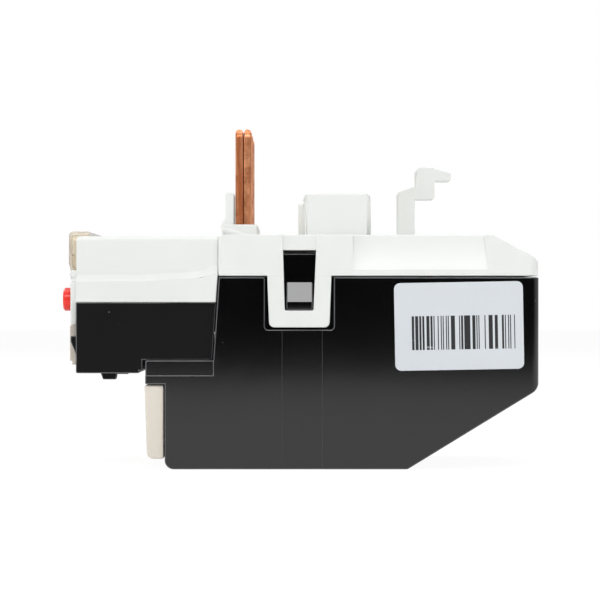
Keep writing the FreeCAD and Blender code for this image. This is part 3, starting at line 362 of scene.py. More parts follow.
def moulded(name, colour, shine, uneven=1.0, grain=0.45, grain_height=0.006, wave_height=0.01,
            dust=0.0, tone=0.03, marks=None, **extra):
    """Injection-moulded plastic. grain is the size of the mould's texture in millimetres, the heights
    are in millimetres too, shine is the middle roughness, uneven scales how much it varies, dust is
    the share of dusty spots, and marks gives the share by which local marks darken the colour, where a
    place darkened less than the rest is a painted highlight."""
    material, tree = new_material(name)
    where = place_of(tree)
    slow = noise(tree, where, 60.0, 3.0)
    fine = noise(tree, where, 1.0 / (grain * MM), 3.0, 0.6)
    wave = noise(tree, where, 170.0, 1.5)
    darker = tuple(value * (1.0 - tone) for value in colour)
    lighter = tuple(min(1.0, value * (1.0 + tone)) for value in colour)
    paint = mixed(tree, slow.spread(0.35, 0.65), darker, lighter)
    rough = shine + ((slow - 0.5) * 0.12 + (fine - 0.5) * 0.10) * uneven
    if marks:
        paint = mixed(tree, marks(tree, where), paint, (0.0, 0.0, 0.0))
    if dust:
        specks = add_node(tree, "ShaderNodeTexVoronoi", {"feature": "F1"}, 0, Vector=where, Scale=420.0)
        patchy = noise(tree, where, 150.0, 2.0)
        mask = (1.0 - specks.spread(0.05, 0.09)) * patchy.spread(0.60, 0.72) * dust
        paint = mixed(tree, mask, paint, srgb(150, 146, 140))
        rough = rough + mask * 0.3
    height = fine * grain_height + wave * wave_height
    return surface(material, tree, Base_Color=paint, Roughness=rough,
                   Normal=bump(tree, height, 1.0, 1.0), **extra)


# Where the parting line runs, and where the grip hollows lie, which get a painted highlight.
LINE_UP = (44.50, 44.62)
LINE_ALONG = (-8.0, 8.0)
HOLLOW_ALONG = (12.0, 43.6)
HOLLOW_FOOT = 45.8
HOLLOW_BACK = 32.0
SIDE_AT = 34.985


def parting_line_and_grip_highlight(tree, where):
    """Parting line across the latch tabs, and a painted highlight on the grip, which is darkened less
    than the face round it.
    """
    x, y, z = axes(tree, where)
    depth = y.maths("ABSOLUTE", y)
    line = z.between(*LINE_UP) * x.between(*LINE_ALONG) * 0.05
    # The grip is darkened less than the face round it: a painted highlight for the light on the hollow.
    grip = x.between(*HOLLOW_ALONG) * (z > HOLLOW_FOOT) * (1.0 - (depth > SIDE_AT)) * (depth > HOLLOW_BACK)
    return line + 0.075 - 0.030 * grip


black_plastic = moulded("black_moulding", srgb(9, 9, 10), 0.075, uneven=0.25, grain=0.5,
                        grain_height=0.0008, wave_height=0.002, dust=0.5, tone=0.10, IOR=1.58)
base_black = moulded("module_black", srgb(11, 10, 10), 0.36, grain=0.35, grain_height=0.008, dust=0.6,
                     IOR=1.30)
# A lighter grey for the rounded edges of the black parts: a painted highlight, for the light that their
# small radius catches.
black_edge_highlight = moulded("rubbed_black_edge", srgb(84, 84, 87), 0.30, grain=0.3, grain_height=0.004, tone=0.25)
white_plastic = moulded("white_moulding", srgb(230, 232, 229), 0.42, grain=0.4, grain_height=0.008,
                        tone=0.012)
# The top cover's marks are its parting line and a painted highlight on its grips.
cover_white = moulded("cover_white", srgb(240, 242, 239), 0.42, grain=0.4, grain_height=0.008,
                      tone=0.012, marks=parting_line_and_grip_highlight)
cream_plastic = moulded("cream_moulding", srgb(228, 220, 208), 0.45, grain=0.4, tone=0.015)
grey_plastic = moulded("grey_moulding", srgb(178, 178, 174), 0.45)
red_plastic = moulded("red_button_plastic", srgb(238, 48, 34), 0.30, grain_height=0.003, tone=0.02)
blue_plastic = moulded("blue_button_plastic", srgb(28, 74, 158), 0.30, grain_height=0.003, tone=0.02)
print("mouldings", len(bpy.data.materials))

# %% [markdown]
# ## Copper, tin, zinc and brass
#
# The pins are folded from rolled copper strip. Rolling leaves fine lines along the strip, and handling
# leaves darker stripes where the copper has begun to tarnish. Noise that is squeezed across the strip
# and stretched along it gives both. The plated parts use the same recipe with a weaker pattern. All of
# them are metal through and through, so Metallic is one number.

# %% Metals
def rolled(name, light, dark, shine, along="Z", streak=0.5, tarnish=None, scratch=0.004):
    """Rolled or drawn metal with streaks along one axis."""
    material, tree = new_material(name)
    stretch = {"X": (0.05, 1, 1), "Y": (1, 0.05, 1), "Z": (1, 1, 0.05)}[along]
    lines = add_node(tree, "ShaderNodeMapping", None, 0, Vector=place_of(tree), Scale=stretch)
    broad = noise(tree, lines, 900.0, 4.0, 0.6)
    hair = noise(tree, lines, 5200.0, 3.0, 0.7)
    cloud = noise(tree, place_of(tree), 260.0, 4.0, 0.6)
    share = broad.spread(0.5 - streak * 0.3, 0.5 + streak * 0.3)
    paint = mixed(tree, share, dark, light)
    rough = shine + (hair - 0.5) * 0.25 + (cloud - 0.5) * 0.15
    if tarnish:
        stain = (cloud * 0.6 + broad * 0.4).spread(0.50, 0.60) * 0.75
        paint = mixed(tree, stain, paint, tarnish)
        rough = rough + stain * 0.12
    return surface(material, tree, Base_Color=paint, Metallic=1.0, Roughness=rough,
                   Normal=bump(tree, hair * scratch + broad * scratch, 1.0, 1.0))


copper = rolled("rolled_copper", srgb(240, 174, 130), srgb(192, 112, 72), 0.42,
                tarnish=srgb(150, 84, 52), scratch=0.012)
tinned = rolled("tinned_copper", srgb(206, 204, 198), srgb(170, 166, 158), 0.38, "X")
heater_alloy = rolled("heater_alloy", srgb(160, 150, 138), srgb(118, 108, 98), 0.42, "X")
bimetal_strip = rolled("bimetal_strip", srgb(196, 188, 172), srgb(160, 150, 132), 0.34, "Z")
zinc = rolled("zinc_plate", srgb(214, 214, 210), srgb(176, 178, 180), 0.30, "Y", streak=0.8,
              tarnish=srgb(168, 160, 136))
spring_steel = rolled("spring_steel", srgb(176, 176, 178), srgb(120, 120, 122), 0.28, "X")
brass = rolled("stamped_brass", srgb(222, 190, 122), srgb(186, 148, 84), 0.32, "Z")
print("metals ready")

# %% [markdown]
# ## The clear flap
#
# The flap is a clear plastic that has yellowed a little. Clear plastic is mostly transmission. Seen
# edge on, light has passed through a lot of it, which is why its rim looks tan. Lamps don't shine
# through refraction by themselves, so shadow rays take a transparent surface instead of the clear one,
# and the dial behind the flap gets its light.

# %% Clear plastic
LAMPLIGHT_THROUGH = 0.85


def clear(name, tint):
    material, tree = new_material(name)
    where = place_of(tree)
    wave = noise(tree, where, 120.0, 2.0)
    scuffs = noise(tree, where, 900.0, 4.0, 0.7)
    rough = 0.05 + scuffs.spread(0.55, 0.75) * 0.12
    body = add_node(tree, "ShaderNodeBsdfPrincipled", None, 0,
                    Base_Color=mixed(tree, wave, tint, tuple(v * 0.96 for v in tint)),
                    Roughness=rough, Transmission_Weight=0.80, IOR=1.5,
                    Normal=bump(tree, wave * 0.03 + scuffs * 0.001, 1.0, 1.0))
    let_through = add_node(tree, "ShaderNodeBsdfTransparent", None, 0, Color=tint)
    shadow = tree.nodes.new("ShaderNodeLightPath").outputs["Is Shadow Ray"]
    shader_mix(tree, Wire(tree, shadow) * LAMPLIGHT_THROUGH, body, let_through)
    return material


clear_plastic = clear("clear_flap_plastic", srgb(248, 240, 226))
print("materials", len(bpy.data.materials))

# %% [markdown]
# ## Giving the imported pieces their materials
# Each imported node already has the right shape, so it only needs its slot filled. The record gives
# each node its material slot, and the table below gives each slot its material.
# from the general to the particular: a node's name says what it is made of.

# %% Materials for the imported pieces
FINISHES = {
    "black_plastic": black_plastic,
    "white_plastic": white_plastic,
    "cream_plastic": cream_plastic,
    "clear_plastic": clear_plastic,
    "red_plastic": red_plastic,
    "blue_plastic": blue_plastic,
    "grey_plastic": grey_plastic,
    "copper": copper,
    "tinned_copper": tinned,
    "heater_alloy": heater_alloy,
    "bimetal": bimetal_strip,
    "zinc_steel": zinc,
    "spring_steel": spring_steel,
    "brass": brass,
}
slot_of = {row["node"]: row["material_slot"] for row in frame["record"]["subparts"]}
for node_name, node in frame["nodes"].items():
    node.data.materials.clear()
    node.data.materials.append(FINISHES[slot_of[node_name]])
print("nodes finished", len(slot_of))

# %% [markdown]
# ## Softened mouldings
#
# A mould never gives a knife edge: every corner has a small radius, and that radius is what catches
# the light. The imported shapes are sharp there. So each piece that shows is copied, its loose triangles
# are merged into whole faces, and a Bevel modifier rounds each edge that turns by more than thirty
# degrees. Big flat faces must stay flat under the lamps, so a Weighted Normal modifier lets them, and
# not their thin rounded borders, decide the shading. The copy stands for the imported node, on the same
# body.
#
# Two faces that lean to each other by more than a few degrees must not shade as one round face, so the
# edge between them is marked sharp. Three pieces are also reshaped on the way: the cover's grips get
# shallower, the hook's shoulder and head get their slopes, and the wall behind the latch drops a
# little.

# %% Sizes for softening, in millimetres and degrees
WELD_WITHIN = 0.002
ROUND_FROM = 30
FOLD_FROM = 4
SMOOTH_BELOW = 32
FLAT_WIDTH = 1.5
RAMP_TILT = 17.28
PAD_TOP = 44.3
SIDE_FACE = 35.0
WALL_INNER = 31.01
GRIP_AXIS = (40.1, 53.436)
GRIP_RADIUS = 9.1
GRIP_ENDS = (12.3, 42.5)
GRIP_TOP = 53.9
GRIP_SHARE = 0.4
GRIP_LEAN = 0.9
UPSTAND_TOP = 50.3
UPSTAND_DROP = 0.55
# Parts of the hook, as left, right, bottom and top, and how far each rises.
HOOK_MOVES = (
    (32.55, 32.85, 69.3, 69.5, 0.8),
    (35.3, 36.1, 68.2, 69.1, 0.5),
    (31.9, 32.2, 70.0, 70.3, 0.25),
    (23.3, 24.5, 65.2, 66.4, -1.1),
)
print("grips keep", GRIP_SHARE, "of their depth")

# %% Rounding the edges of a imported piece
def merged_copy(node_name):
    """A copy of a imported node, with its loose triangles merged into whole faces."""
    source = frame["nodes"][node_name]
    start_clean()
    piece = source.copy()
    piece.data = source.data.copy()
    piece.parent = None
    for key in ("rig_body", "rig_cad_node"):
        if key in piece:
            del piece[key]
    bpy.context.scene.collection.objects.link(piece)
    activate(piece)
    bpy.ops.object.mode_set(mode="EDIT")
    bpy.ops.mesh.select_all(action="SELECT")
    bpy.ops.mesh.remove_doubles(threshold=WELD_WITHIN * MM)
    bpy.ops.mesh.dissolve_limited(angle_limit=math.radians(0.5))
    leave_edit()
    return piece


def room_beside(edge):
    """Width of the narrower face beside an edge, in millimetres."""
    return min(face.calc_area() for face in edge.link_faces) / edge.calc_length() / MM


def is_corner(edge, from_angle):
    return (len(edge.link_faces) == 2 and edge.is_convex
            and edge.calc_face_angle() > math.radians(from_angle))


def on_pad_top(edge):
    """The edge on top of the pad behind a latch tab, which stays sharp and so can't be seen."""
    return all(abs(v.co.z / MM - PAD_TOP) < 0.02 and abs(v.co.y / MM) < 34.9
               and abs(v.co.x / MM) < 12 for v in edge.verts)


def weigh_edges(piece, radius, from_angle):
    """Outer edges get the whole radius, and one beside a narrow face only what that face has room for."""
    for least, most, weight in ((1.0, 1e9, 1.0), (0.5, 1.0, 0.5), (0.2, 0.5, 0.2)):
        pick(piece, lambda e: is_corner(e, from_angle) and not on_pad_top(e)
             and least <= room_beside(e) * 0.45 / radius < most, "EDGE")
        bpy.ops.transform.edge_bevelweight(value=weight)
        leave_edit()


def keep_flat(piece, hollow_folds):
    """Marks the edges between wide faces that lean to each other, so that both faces shade as flat
    ones. Where a hollow is round, only its outward folds are marked."""
    def is_ramp(face):
        rise = math.sin(math.radians(RAMP_TILT))
        return abs(face.normal.z - rise) < 0.02 and abs(face.normal.x) < 0.02

    def is_fold(edge):
        if hollow_folds and any(is_ramp(face) for face in edge.link_faces):
            return True
        return (len(edge.link_faces) == 2 and room_beside(edge) > FLAT_WIDTH
                and edge.calc_face_angle() > math.radians(FOLD_FROM)
                and (hollow_folds or edge.is_convex))
    pick(piece, is_fold, "EDGE")
    bpy.ops.mesh.mark_sharp()
    leave_edit()


def round_edges(piece, radius, edge_material=0):
    weigh_edges(piece, radius, ROUND_FROM)
    rounding = piece.modifiers.new("mould_radius", "BEVEL")
    rounding.width = radius * MM
    rounding.segments = 3
    rounding.limit_method = "WEIGHT"
    rounding.use_clamp_overlap = False
    rounding.miter_outer = "MITER_ARC"
    rounding.material = edge_material
    apply_all(piece)
    smooth(piece, SMOOTH_BELOW)
    flat_faces = piece.modifiers.new("flat_faces", "WEIGHTED_NORMAL")
    flat_faces.keep_sharp = True
    flat_faces.weight = 100
    return apply_all(piece)


def reshape_grip(piece):
    """Makes the grip hollows shallower, and leans their right ends inwards to the top."""
    def in_hollow(vertex, side):
        x, y, z = vertex.co / MM
        across = math.hypot(abs(y) - GRIP_AXIS[0], z - GRIP_AXIS[1])
        inside = (abs(y) > WALL_INNER or z < GRIP_TOP) and abs(y) < SIDE_FACE - 0.01
        return (y * side > 0 and inside and GRIP_ENDS[0] - 0.1 < x < GRIP_ENDS[1] + 0.1
                and abs(across - GRIP_RADIUS) < 0.03)

    def on_right_end(vertex):
        return abs(vertex.co.x / MM - GRIP_ENDS[1]) < 0.01 and abs(vertex.co.y / MM) > WALL_INNER
    for side in (-1, 1):
        pick(piece, lambda v: in_hollow(v, side), "VERT")
        bpy.ops.transform.resize(value=(1.0, GRIP_SHARE, 1.0),
                                 center_override=(0.0, side * SIDE_FACE * MM, 0.0))
        leave_edit()
    heights = sorted({round(v.co.z / MM, 2) for v in piece.data.vertices if on_right_end(v)})
    for height in heights:
        pick(piece, lambda v: on_right_end(v) and abs(v.co.z / MM - height) < 0.006, "VERT")
        lean = GRIP_LEAN * (1.0 - (height - heights[0]) / (heights[-1] - heights[0]))
        bpy.ops.transform.translate(value=(lean * MM, 0.0, 0.0))
        leave_edit()
    print("grip heights", heights)


def reshape_hook(piece):
    """Slopes the hook's shoulder and its head, whose tip gets thicker."""
    for left, right, bottom, top, rise in HOOK_MOVES:
        pick(piece, lambda v: left < v.co.x / MM < right and bottom < v.co.z / MM < top, "VERT")
        bpy.ops.transform.translate(value=(0.0, 0.0, rise * MM))
        leave_edit()


def lower_upstand(piece):
    """Leaves a gap between the wall behind the latch and the cover's top, which shows as a dark line."""
    pick(piece, lambda v: abs(v.co.z / MM - UPSTAND_TOP) < 0.01, "VERT")
    bpy.ops.transform.translate(value=(0.0, 0.0, -UPSTAND_DROP * MM))
    leave_edit()


def softened(node_name, radius, material, ending="_moulding", edge=None, reshape=None):
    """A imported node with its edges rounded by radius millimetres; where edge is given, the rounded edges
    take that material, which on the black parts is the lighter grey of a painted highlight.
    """
    piece = merged_copy(node_name)
    if reshape:
        reshape(piece)
    keep_flat(piece, hollow_folds=node_name != "top_cover")
    piece.data.materials.clear()
    for coat in (material, edge or material):
        piece.data.materials.append(coat)
    round_edges(piece, radius, edge_material=1 if edge else 0)
    print(node_name, "faces", len(piece.data.polygons))
    return finished(piece, node_name + ending, None, frame["nodes"][node_name]["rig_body"],
                    slot_of[node_name], node_name)


RESHAPED = {"top_cover": reshape_grip, "main_housing": lower_upstand, "mounting_hook": reshape_hook}
MOULDINGS = [
    ("main_housing", 0.25, black_plastic),
    ("top_cover", 0.25, cover_white),
    ("mounting_hook", 0.20, white_plastic),
    ("module_base", 0.22, base_black),
    ("module_cover", 0.25, white_plastic),
    ("power_terminal_shroud", 0.30, cream_plastic),
    ("aux_terminal_block", 0.12, cream_plastic),
    ("setting_flap", 0.12, clear_plastic),
    ("stop_button", 0.08, red_plastic),
    ("reset_cap", 0.08, blue_plastic),
    ("setting_dial", 0.12, grey_plastic),
    ("test_slider", 0.12, cream_plastic),
]
for node_name, radius, material in MOULDINGS:
    # The black parts' rounded edges take the grey of a painted highlight.
    painted_edge_highlight = black_edge_highlight if material in (black_plastic, base_black) else None
    softened(node_name, radius, material, edge=painted_edge_highlight, reshape=RESHAPED.get(node_name))

# %% [markdown]
# ## The copper pins and the metal of the terminals
#
# A pin is one strip folded double, so its edges are rolled round and its two leaves show as a dark
# line down the narrow side. Plated parts have a smaller radius, left by tumbling in the plating drum.

# %% Rounding the metal parts
for number in (1, 2, 3):
    softened(f"line_pin_{number}", 0.30, copper, "_strip")
    softened(f"clamp_cage_{number}", 0.15, zinc, "_plated")
    softened(f"load_bar_{number}", 0.15, tinned, "_plated")
    softened(f"terminal_screw_{number}", 0.20, zinc, "_plated")
for number in (1, 2, 3, 4):
    softened(f"aux_washer_{number}", 0.12, zinc, "_plated")
    softened(f"aux_screw_{number}", 0.12, zinc, "_plated")

# %% [markdown]
# ## The sticker
#
# A paper label, 30 by 20 millimetres, sits on the right-hand side, put on by hand and so turned by one
# degree. It carries a field of bars and nothing else. The bars are printed, so they belong in the
# material: the label's width is cut into narrow columns, and a random number for each column decides
# whether it is inked. The same place, turned with the label, gives both the columns and the field.

# %% The label's paper and print
LABEL_MIDDLE = (36.65, 33.05)
LABEL_LONG = 29.7
LABEL_HIGH = 20.2
LABEL_CORNER = 1.4
LABEL_THICK = 0.06
LABEL_TURN = math.radians(1.0)
BAR_STEP = 0.235
BARS_ACROSS = (-10.9, 12.9)
BARS_UP = (-5.4, 2.4)
INKED_ABOVE = 0.47


def label_paper():
    material, tree = new_material("label_paper")
    where = place_of(tree)
    on_label = tree.nodes.new("ShaderNodeMapping")
    on_label.vector_type = "TEXTURE"
    feed(tree, on_label.inputs["Vector"], where)
    on_label.inputs["Location"].default_value = (LABEL_MIDDLE[0] * MM, 0.0, LABEL_MIDDLE[1] * MM)
    on_label.inputs["Rotation"].default_value = (0.0, -LABEL_TURN, 0.0)
    across, _, up = axes(tree, Wire(tree, on_label.outputs[0]))
    column = across.maths("FLOOR", across * (1 / BAR_STEP))
    chance = tree.nodes.new("ShaderNodeTexWhiteNoise")
    chance.noise_dimensions = "1D"
    feed(tree, chance.inputs["W"], column)
    inked = Wire(tree, chance.outputs["Value"]) > INKED_ABOVE
    field = across.between(*BARS_ACROSS) * up.between(*BARS_UP)
    slanted = add_node(tree, "ShaderNodeMapping", None, 0, Vector=where,
                       Rotation=(0.0, math.radians(24), 0.0), Scale=(0.12, 1.0, 1.0))
    scuffs = noise(tree, slanted, 900.0, 3.0, 0.7)
    fibre = noise(tree, where, 2600.0, 3.0, 0.6)
    print_share = inked * field * (1.0 - scuffs.spread(0.66, 0.72))
    paper = mixed(tree, fibre, srgb(209, 214, 219), srgb(217, 222, 226))
    paint = mixed(tree, print_share, paper, srgb(34, 34, 38))
    rough = 0.40 + (fibre - 0.5) * 0.15 + print_share * 0.1
    return surface(material, tree, Base_Color=paint, Roughness=rough,
                   Normal=bump(tree, fibre * 0.004 + scuffs * 0.004, 1.0, 1.0))


# %% [markdown]
# The sticker itself is a plane with its four corners bevelled round and its face pulled out to the
# thickness of paper. It is turned and moved to its place on the housing's side before it is settled.

# %% The label, cut with round corners
start_clean()
bpy.ops.mesh.primitive_plane_add(size=1.0, rotation=(math.radians(90), 0, 0))
label = bpy.context.object
label.scale = (LABEL_LONG * MM, LABEL_HIGH * MM, 1.0)
settle(label)
pick(label, lambda v: True, "VERT")
bpy.ops.mesh.bevel(offset=LABEL_CORNER * MM, segments=6, affect="VERTICES", offset_type="OFFSET")
bpy.ops.mesh.select_all(action="SELECT")
bpy.ops.mesh.extrude_region_move(TRANSFORM_OT_translate={"value": (0, -LABEL_THICK * MM, 0)})
leave_edit()
label.rotation_euler = (0, -LABEL_TURN, 0)
label.location = (LABEL_MIDDLE[0] * MM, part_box("main_housing")[0][1], LABEL_MIDDLE[1] * MM)
settle(label)
face_outwards(label)
finished(label, "side_label", label_paper(), frame["nodes"]["main_housing"]["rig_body"], "white_plastic")
print("label", [round(v / MM, 2) for v in label.dimensions])

# %% [markdown]
# ## The dial's scale
#
# The tripping current is set on a small dial under the flap. Round it the front plate carries a plain
# scale from 1 to 5, and the dial has a raised pointer that stands at 1 when the dial is at its lower
# stop. The marks lie on the plate and ride with it, and the pointer rides with the dial.

# %% Ticks, numbers and pointer
DIAL_AT = (12.0, 48.0)
DIAL_TRAVEL = 220.0
TICK_FROM = 4.1
TICK_LONG = 0.8
NUMBERS_AT = 5.9
PRINT_THICK = 0.03
PLATE_X = -51.8
TICK_WIDE = 0.28
TICKS = 9
NUMBER_HIGH = 1.4
CAPITAL_SHARE = 0.7
LOWER_STOP = -DIAL_TRAVEL / 2
POINTER_FROM = 1.3
POINTER_LONG = 1.9
POINTER_WIDE = 0.5
POINTER_THICK = 0.16
POINTER_SUNK = 0.02
TIP_SHARE = 0.35


def round_the_dial(angle, radius):
    """Y and Z at a clockwise angle from the top, seen from in front."""
    turn = math.radians(angle)
    return DIAL_AT[0] - radius * math.sin(turn), DIAL_AT[1] + radius * math.cos(turn)


def bar(name, x, angle, start, length, width, thick):
    """A flat bar that points away from the dial's middle."""
    start_clean()
    y, z = round_the_dial(angle, start + length / 2)
    bpy.ops.mesh.primitive_cube_add(size=1.0, location=(x * MM, y * MM, z * MM),
                                    rotation=(math.radians(angle), 0, 0))
    made = named(bpy.context.object, name)
    made.scale = (thick * MM, width * MM, length * MM)
    return settle(made)


def number_on(name, text, x, angle, radius, height):
    """An upright number, made a mesh before it goes to its place."""
    start_clean()
    bpy.ops.object.text_add()
    made = named(bpy.context.object, name)
    made.data.body = text
    made.data.size = height * MM / CAPITAL_SHARE
    made.data.extrude = PRINT_THICK * MM
    made.data.offset = 0.05 * MM
    made.data.align_x = "CENTER"
    made.data.align_y = "CENTER"
    made.data.resolution_u = 4
    bpy.ops.object.convert(target="MESH")
    y, z = round_the_dial(angle, radius)
    made.rotation_euler = (math.radians(90), 0, math.radians(-90))
    made.location = (x * MM, y * MM, z * MM)
    return settle(made)


dial_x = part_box("setting_dial")[0][0] / MM
print("plate at", PLATE_X, "dial at", round(dial_x, 2))
ink = moulded("scale_ink", srgb(38, 38, 42), 0.5, grain=0.2, grain_height=0.002)
marks = []
for step in range(TICKS):
    angle = LOWER_STOP + DIAL_TRAVEL * step / (TICKS - 1)
    long = TICK_LONG if step % 2 == 0 else TICK_LONG * 0.6
    marks.append(bar(f"tick_{step}", PLATE_X, angle, TICK_FROM, long, TICK_WIDE, 2 * PRINT_THICK))
    if step % 2 == 0:
        marks.append(number_on(f"number_{step}", str(step // 2 + 1), PLATE_X, angle, NUMBERS_AT,
                               NUMBER_HIGH))
start_clean()
for mark in marks:
    mark.select_set(True)
bpy.context.view_layer.objects.active = marks[0]
bpy.ops.object.join()
finished(marks[0], "dial_scale", ink, frame["nodes"]["module_cover"]["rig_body"], "black_plastic")

pointer = bar("dial_pointer", dial_x - POINTER_SUNK, LOWER_STOP, POINTER_FROM, POINTER_LONG,
              POINTER_WIDE, POINTER_THICK)
pick(pointer, lambda v: round_the_dial(LOWER_STOP, POINTER_FROM + 1.0)[0] * MM < v.co.y, "VERT")
tip = (dial_x, *round_the_dial(LOWER_STOP, POINTER_FROM + POINTER_LONG))
bpy.ops.transform.resize(value=(1.0, TIP_SHARE, TIP_SHARE), orient_type="GLOBAL",
                         center_override=[v * MM for v in tip])
leave_edit()
finished(pointer, "dial_pointer", red_plastic, frame["nodes"]["setting_dial"]["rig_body"], "red_plastic")

# %% [markdown]
# ## Caps over the hinge
#
# The flap's two stub pins turn in ears on the front plate. The outer end of each hole is closed by a
# thin round cap with a softened rim.

# %% Hinge caps
HINGE_AT = (-52.5, 44.9)
EAR_OUTER = 31.2
CAP_RADIUS = 0.72
CAP_THICK = 0.24
for number, side in ((1, -1), (2, 1)):
    outer = side * EAR_OUTER
    start_clean()
    bpy.ops.mesh.primitive_cylinder_add(vertices=32, radius=CAP_RADIUS * MM, depth=CAP_THICK * MM,
                                        location=(HINGE_AT[0] * MM, outer * MM, HINGE_AT[1] * MM),
                                        rotation=(math.radians(90), 0, 0))
    cap = settle(named(bpy.context.object, f"hinge_cap_{number}"))
    round_edges(cap, 0.10)
    finished(cap, f"hinge_cap_{number}", white_plastic, frame["nodes"]["module_cover"]["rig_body"],
             "white_plastic")
    print("hinge cap at Y", round(outer, 2))

# %% [markdown]
# ## Coil springs
#
# Each button works against a coil spring that stands on a seat in the housing. One turn of the wire is
# drawn as a circle and swept along the spring's axis by the Screw modifier.

# %% Stop and reset springs
SPRING_ACROSS = 4.6
SPRING_WIRE = 0.5
SPRING_TURNS = 5
WIRE_SIDES = 8
STEPS_A_TURN = 24

for name, joint in (("stop_spring", "stop_press"), ("reset_spring", "reset_press")):
    start_clean()
    (x_low, y_low, z_low), (x_high, y_high, z_high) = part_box(name)
    reach = x_high - x_low - SPRING_WIRE * MM
    bpy.ops.mesh.primitive_circle_add(vertices=WIRE_SIDES, radius=SPRING_WIRE / 2 * MM, location=(0, 0, 0))
    coil = named(bpy.context.object, name + "_wire")
    coil.location = (0, 0, (SPRING_ACROSS - SPRING_WIRE) / 2 * MM)
    coil.rotation_euler = (math.radians(90), 0, 0)
    settle(coil)
    sweep = coil.modifiers.new("sweep", "SCREW")
    sweep.axis = "X"
    sweep.iterations = SPRING_TURNS
    sweep.screw_offset = reach / SPRING_TURNS
    sweep.steps = sweep.render_steps = STEPS_A_TURN
    bpy.ops.object.modifier_apply(modifier="sweep")
    coil.location = (x_low + SPRING_WIRE / 2 * MM, (y_low + y_high) / 2, (z_low + z_high) / 2)
    settle(coil)
    face_outwards(coil)
    finished(coil, name + "_wire", spring_steel, frame["nodes"][name]["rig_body"], "spring_steel", name)
    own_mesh(coil)
    print(name, "from", round(x_low / MM, 2), "to", round(x_high / MM, 2))

# %% [markdown]
# ## The table
#
# The relay stands on a white table in a white tent. The table is white to the camera and keeps a faint
# shadow. Its near part fades out for gloss, so the upright black side shows white at its foot and
# stays deep higher up.

# %% The table
low, high = (Vector(corner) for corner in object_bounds())

# The table's glow for gloss fades out between these two Ys, in metres, and the rest of its light is
# the shadowed paper.
FADE_START = -0.60
FADE_END = -1.15
GLOW_SHARE = 0.90


def table_paper():
    """White to the camera, to gloss and through glass, with the shadow left in. What gloss sees of
    it fades towards its near edge, where the dark room in front of it begins."""
    material, tree = new_material("table_paper")
    paths = tree.nodes.new("ShaderNodeLightPath")
    seen = Wire(tree, paths.outputs["Is Camera Ray"])
    mirrored_ray = Wire(tree, paths.outputs["Is Glossy Ray"])
    through = Wire(tree, paths.outputs["Is Transmission Ray"])
    fibres = noise(tree, place_of(tree), 900.0, 3.0)
    glow = add_node(tree, "ShaderNodeEmission", None, 0, Color=(1.0, 1.0, 1.0), Strength=1.05)
    near_edge = Wire(tree, add_node(tree, "ShaderNodeSeparateXYZ", None, 1,
                                    Vector=place_of(tree)).socket).spread(FADE_END, FADE_START)
    colour = mixed(tree, near_edge, srgb(40, 40, 40), mixed(tree, fibres, srgb(238, 238, 238),
                                                            srgb(246, 246, 246)))
    paper = add_node(tree, "ShaderNodeBsdfDiffuse", None, 0, Color=colour)
    shader_mix(tree, (seen + (mirrored_ray + through) * near_edge) * GLOW_SHARE, paper, glow)
    return material


TABLE_FRONT = -1.30
start_clean()
bpy.ops.mesh.primitive_plane_add(size=1.0, location=(0, 0, low.z))
table = named(bpy.context.object, "table")
table.scale = (6.0, 1.0, 1.0)
settle(table)
pick(table, lambda v: v.co.y < 0, "VERT")
bpy.ops.transform.translate(value=(0, TABLE_FRONT + 0.5, 0))
leave_edit()
pick(table, lambda v: v.co.y > 0, "VERT")
bpy.ops.transform.translate(value=(0, 3.0, 0))
leave_edit()
table.data.materials.append(table_paper())
table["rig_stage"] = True
print("table at Z", round(low.z / MM, 2))

# %% [markdown]
# ## Lamps
#
# Large soft lamps stand high in front, to the left and right, behind and above. All are out of the way
# of the mirror direction, so that the upright black sides stay deep.

# %% Lamps
def soft_lamp(name, place, target, width, height, power):
    """A rectangular lamp that looks at its target. Lengths are in metres and power is in watts."""
    light = bpy.data.lights.new(name, "AREA")
    light.shape = "RECTANGLE"
    light.size = width
    light.size_y = height
    light.energy = power
    lamp = bpy.data.objects.new(name, light)
    bpy.context.scene.collection.objects.link(lamp)
    lamp.location = place
    lamp.rotation_euler = (Vector(target) - Vector(place)).to_track_quat("-Z", "Y").to_euler()
    return lamp


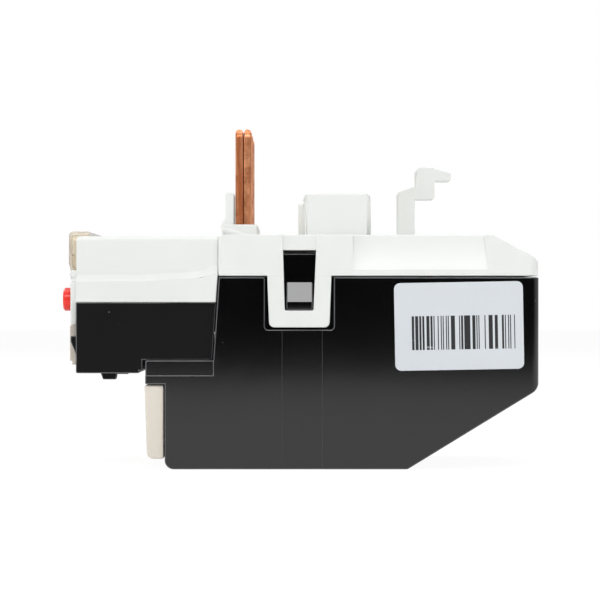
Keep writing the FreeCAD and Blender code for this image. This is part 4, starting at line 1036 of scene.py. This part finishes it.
middle = (low + high) / 2
KEY_AWAY = 1.30
KEY_RISE = math.radians(34.6)
key_way = Vector((0.0, -math.cos(KEY_RISE), math.sin(KEY_RISE)))
soft_lamp("front_high", middle + key_way * KEY_AWAY, middle, 0.80, 0.36, 7.1)
for side, power in (("left", 3.2), ("right", 1.4)):
    turn = -1 if side == "left" else 1
    soft_lamp(side + "_side", (turn * 1.15, -0.55, 0.45), middle, 0.6, 0.8, power)
    soft_lamp("rear_" + side, (turn * 0.75, 0.95, 0.70), middle, 0.7, 0.7, 4.5)
soft_lamp("overhead", (0.0, 0.10, 1.2), middle, 1.1, 0.9, 6.0)
print("lamps", len(bpy.data.lights))

# %% [markdown]
# ## The tent
#
# The camera sees plain white. Glossy surfaces see the same white behind and beside the relay, and a
# dark room in front of it, where the tent is open. Everything else gets a weak fill.

# %% The white tent behind everything
world = bpy.data.worlds.new("tent")
world.use_nodes = True
tree = world.node_tree
tree.nodes.clear()
paths = tree.nodes.new("ShaderNodeLightPath")
seen = Wire(tree, paths.outputs["Is Camera Ray"])
mirrored_ray = Wire(tree, paths.outputs["Is Glossy Ray"])
through = Wire(tree, paths.outputs["Is Transmission Ray"])
ways = tree.nodes.new("ShaderNodeSeparateXYZ")
tree.links.new(add_node(tree, "ShaderNodeTexCoord", out=0).socket, ways.inputs[0])
behind = Wire(tree, ways.outputs["Y"]).spread(-0.70, -0.15)
shine = mirrored_ray.maths("MAXIMUM", mirrored_ray, through)
strength = seen + (1 - seen) * (0.30 + shine * (behind * 0.65 - 0.30))
tent = add_node(tree, "ShaderNodeBackground", None, 0, Color=(1.0, 1.0, 1.0), Strength=strength)
add_node(tree, "ShaderNodeOutputWorld", None, None, Surface=tent)
bpy.context.scene.world = world
bpy.context.scene.view_settings.view_transform = "Standard"
print("tent ready")

# %% [markdown]
# ## The camera
#
# It looks squarely at the relay's right-hand side from a long way off, so that parallel edges stay
# almost parallel. The view takes in 138 millimetres across, in the plane of that side.

# %% Camera
CAMERA_AWAY = 0.770
VIEW_ACROSS = 0.13824
CAMERA_HEIGHT = 0.03903
SENSOR_WIDTH = 36.0
camera_data = bpy.data.cameras.new("camera")
camera_data.sensor_width = SENSOR_WIDTH
camera_data.lens = SENSOR_WIDTH * CAMERA_AWAY / VIEW_ACROSS
camera_data.clip_start = 0.01
camera_data.clip_end = 20.0
camera = bpy.data.objects.new("camera", camera_data)
bpy.context.scene.collection.objects.link(camera)
camera.location = (0.0, low.y - CAMERA_AWAY, CAMERA_HEIGHT)
camera.rotation_euler = (math.radians(90), 0, 0)
bpy.context.scene.camera = camera
print("lens", round(camera_data.lens, 1))
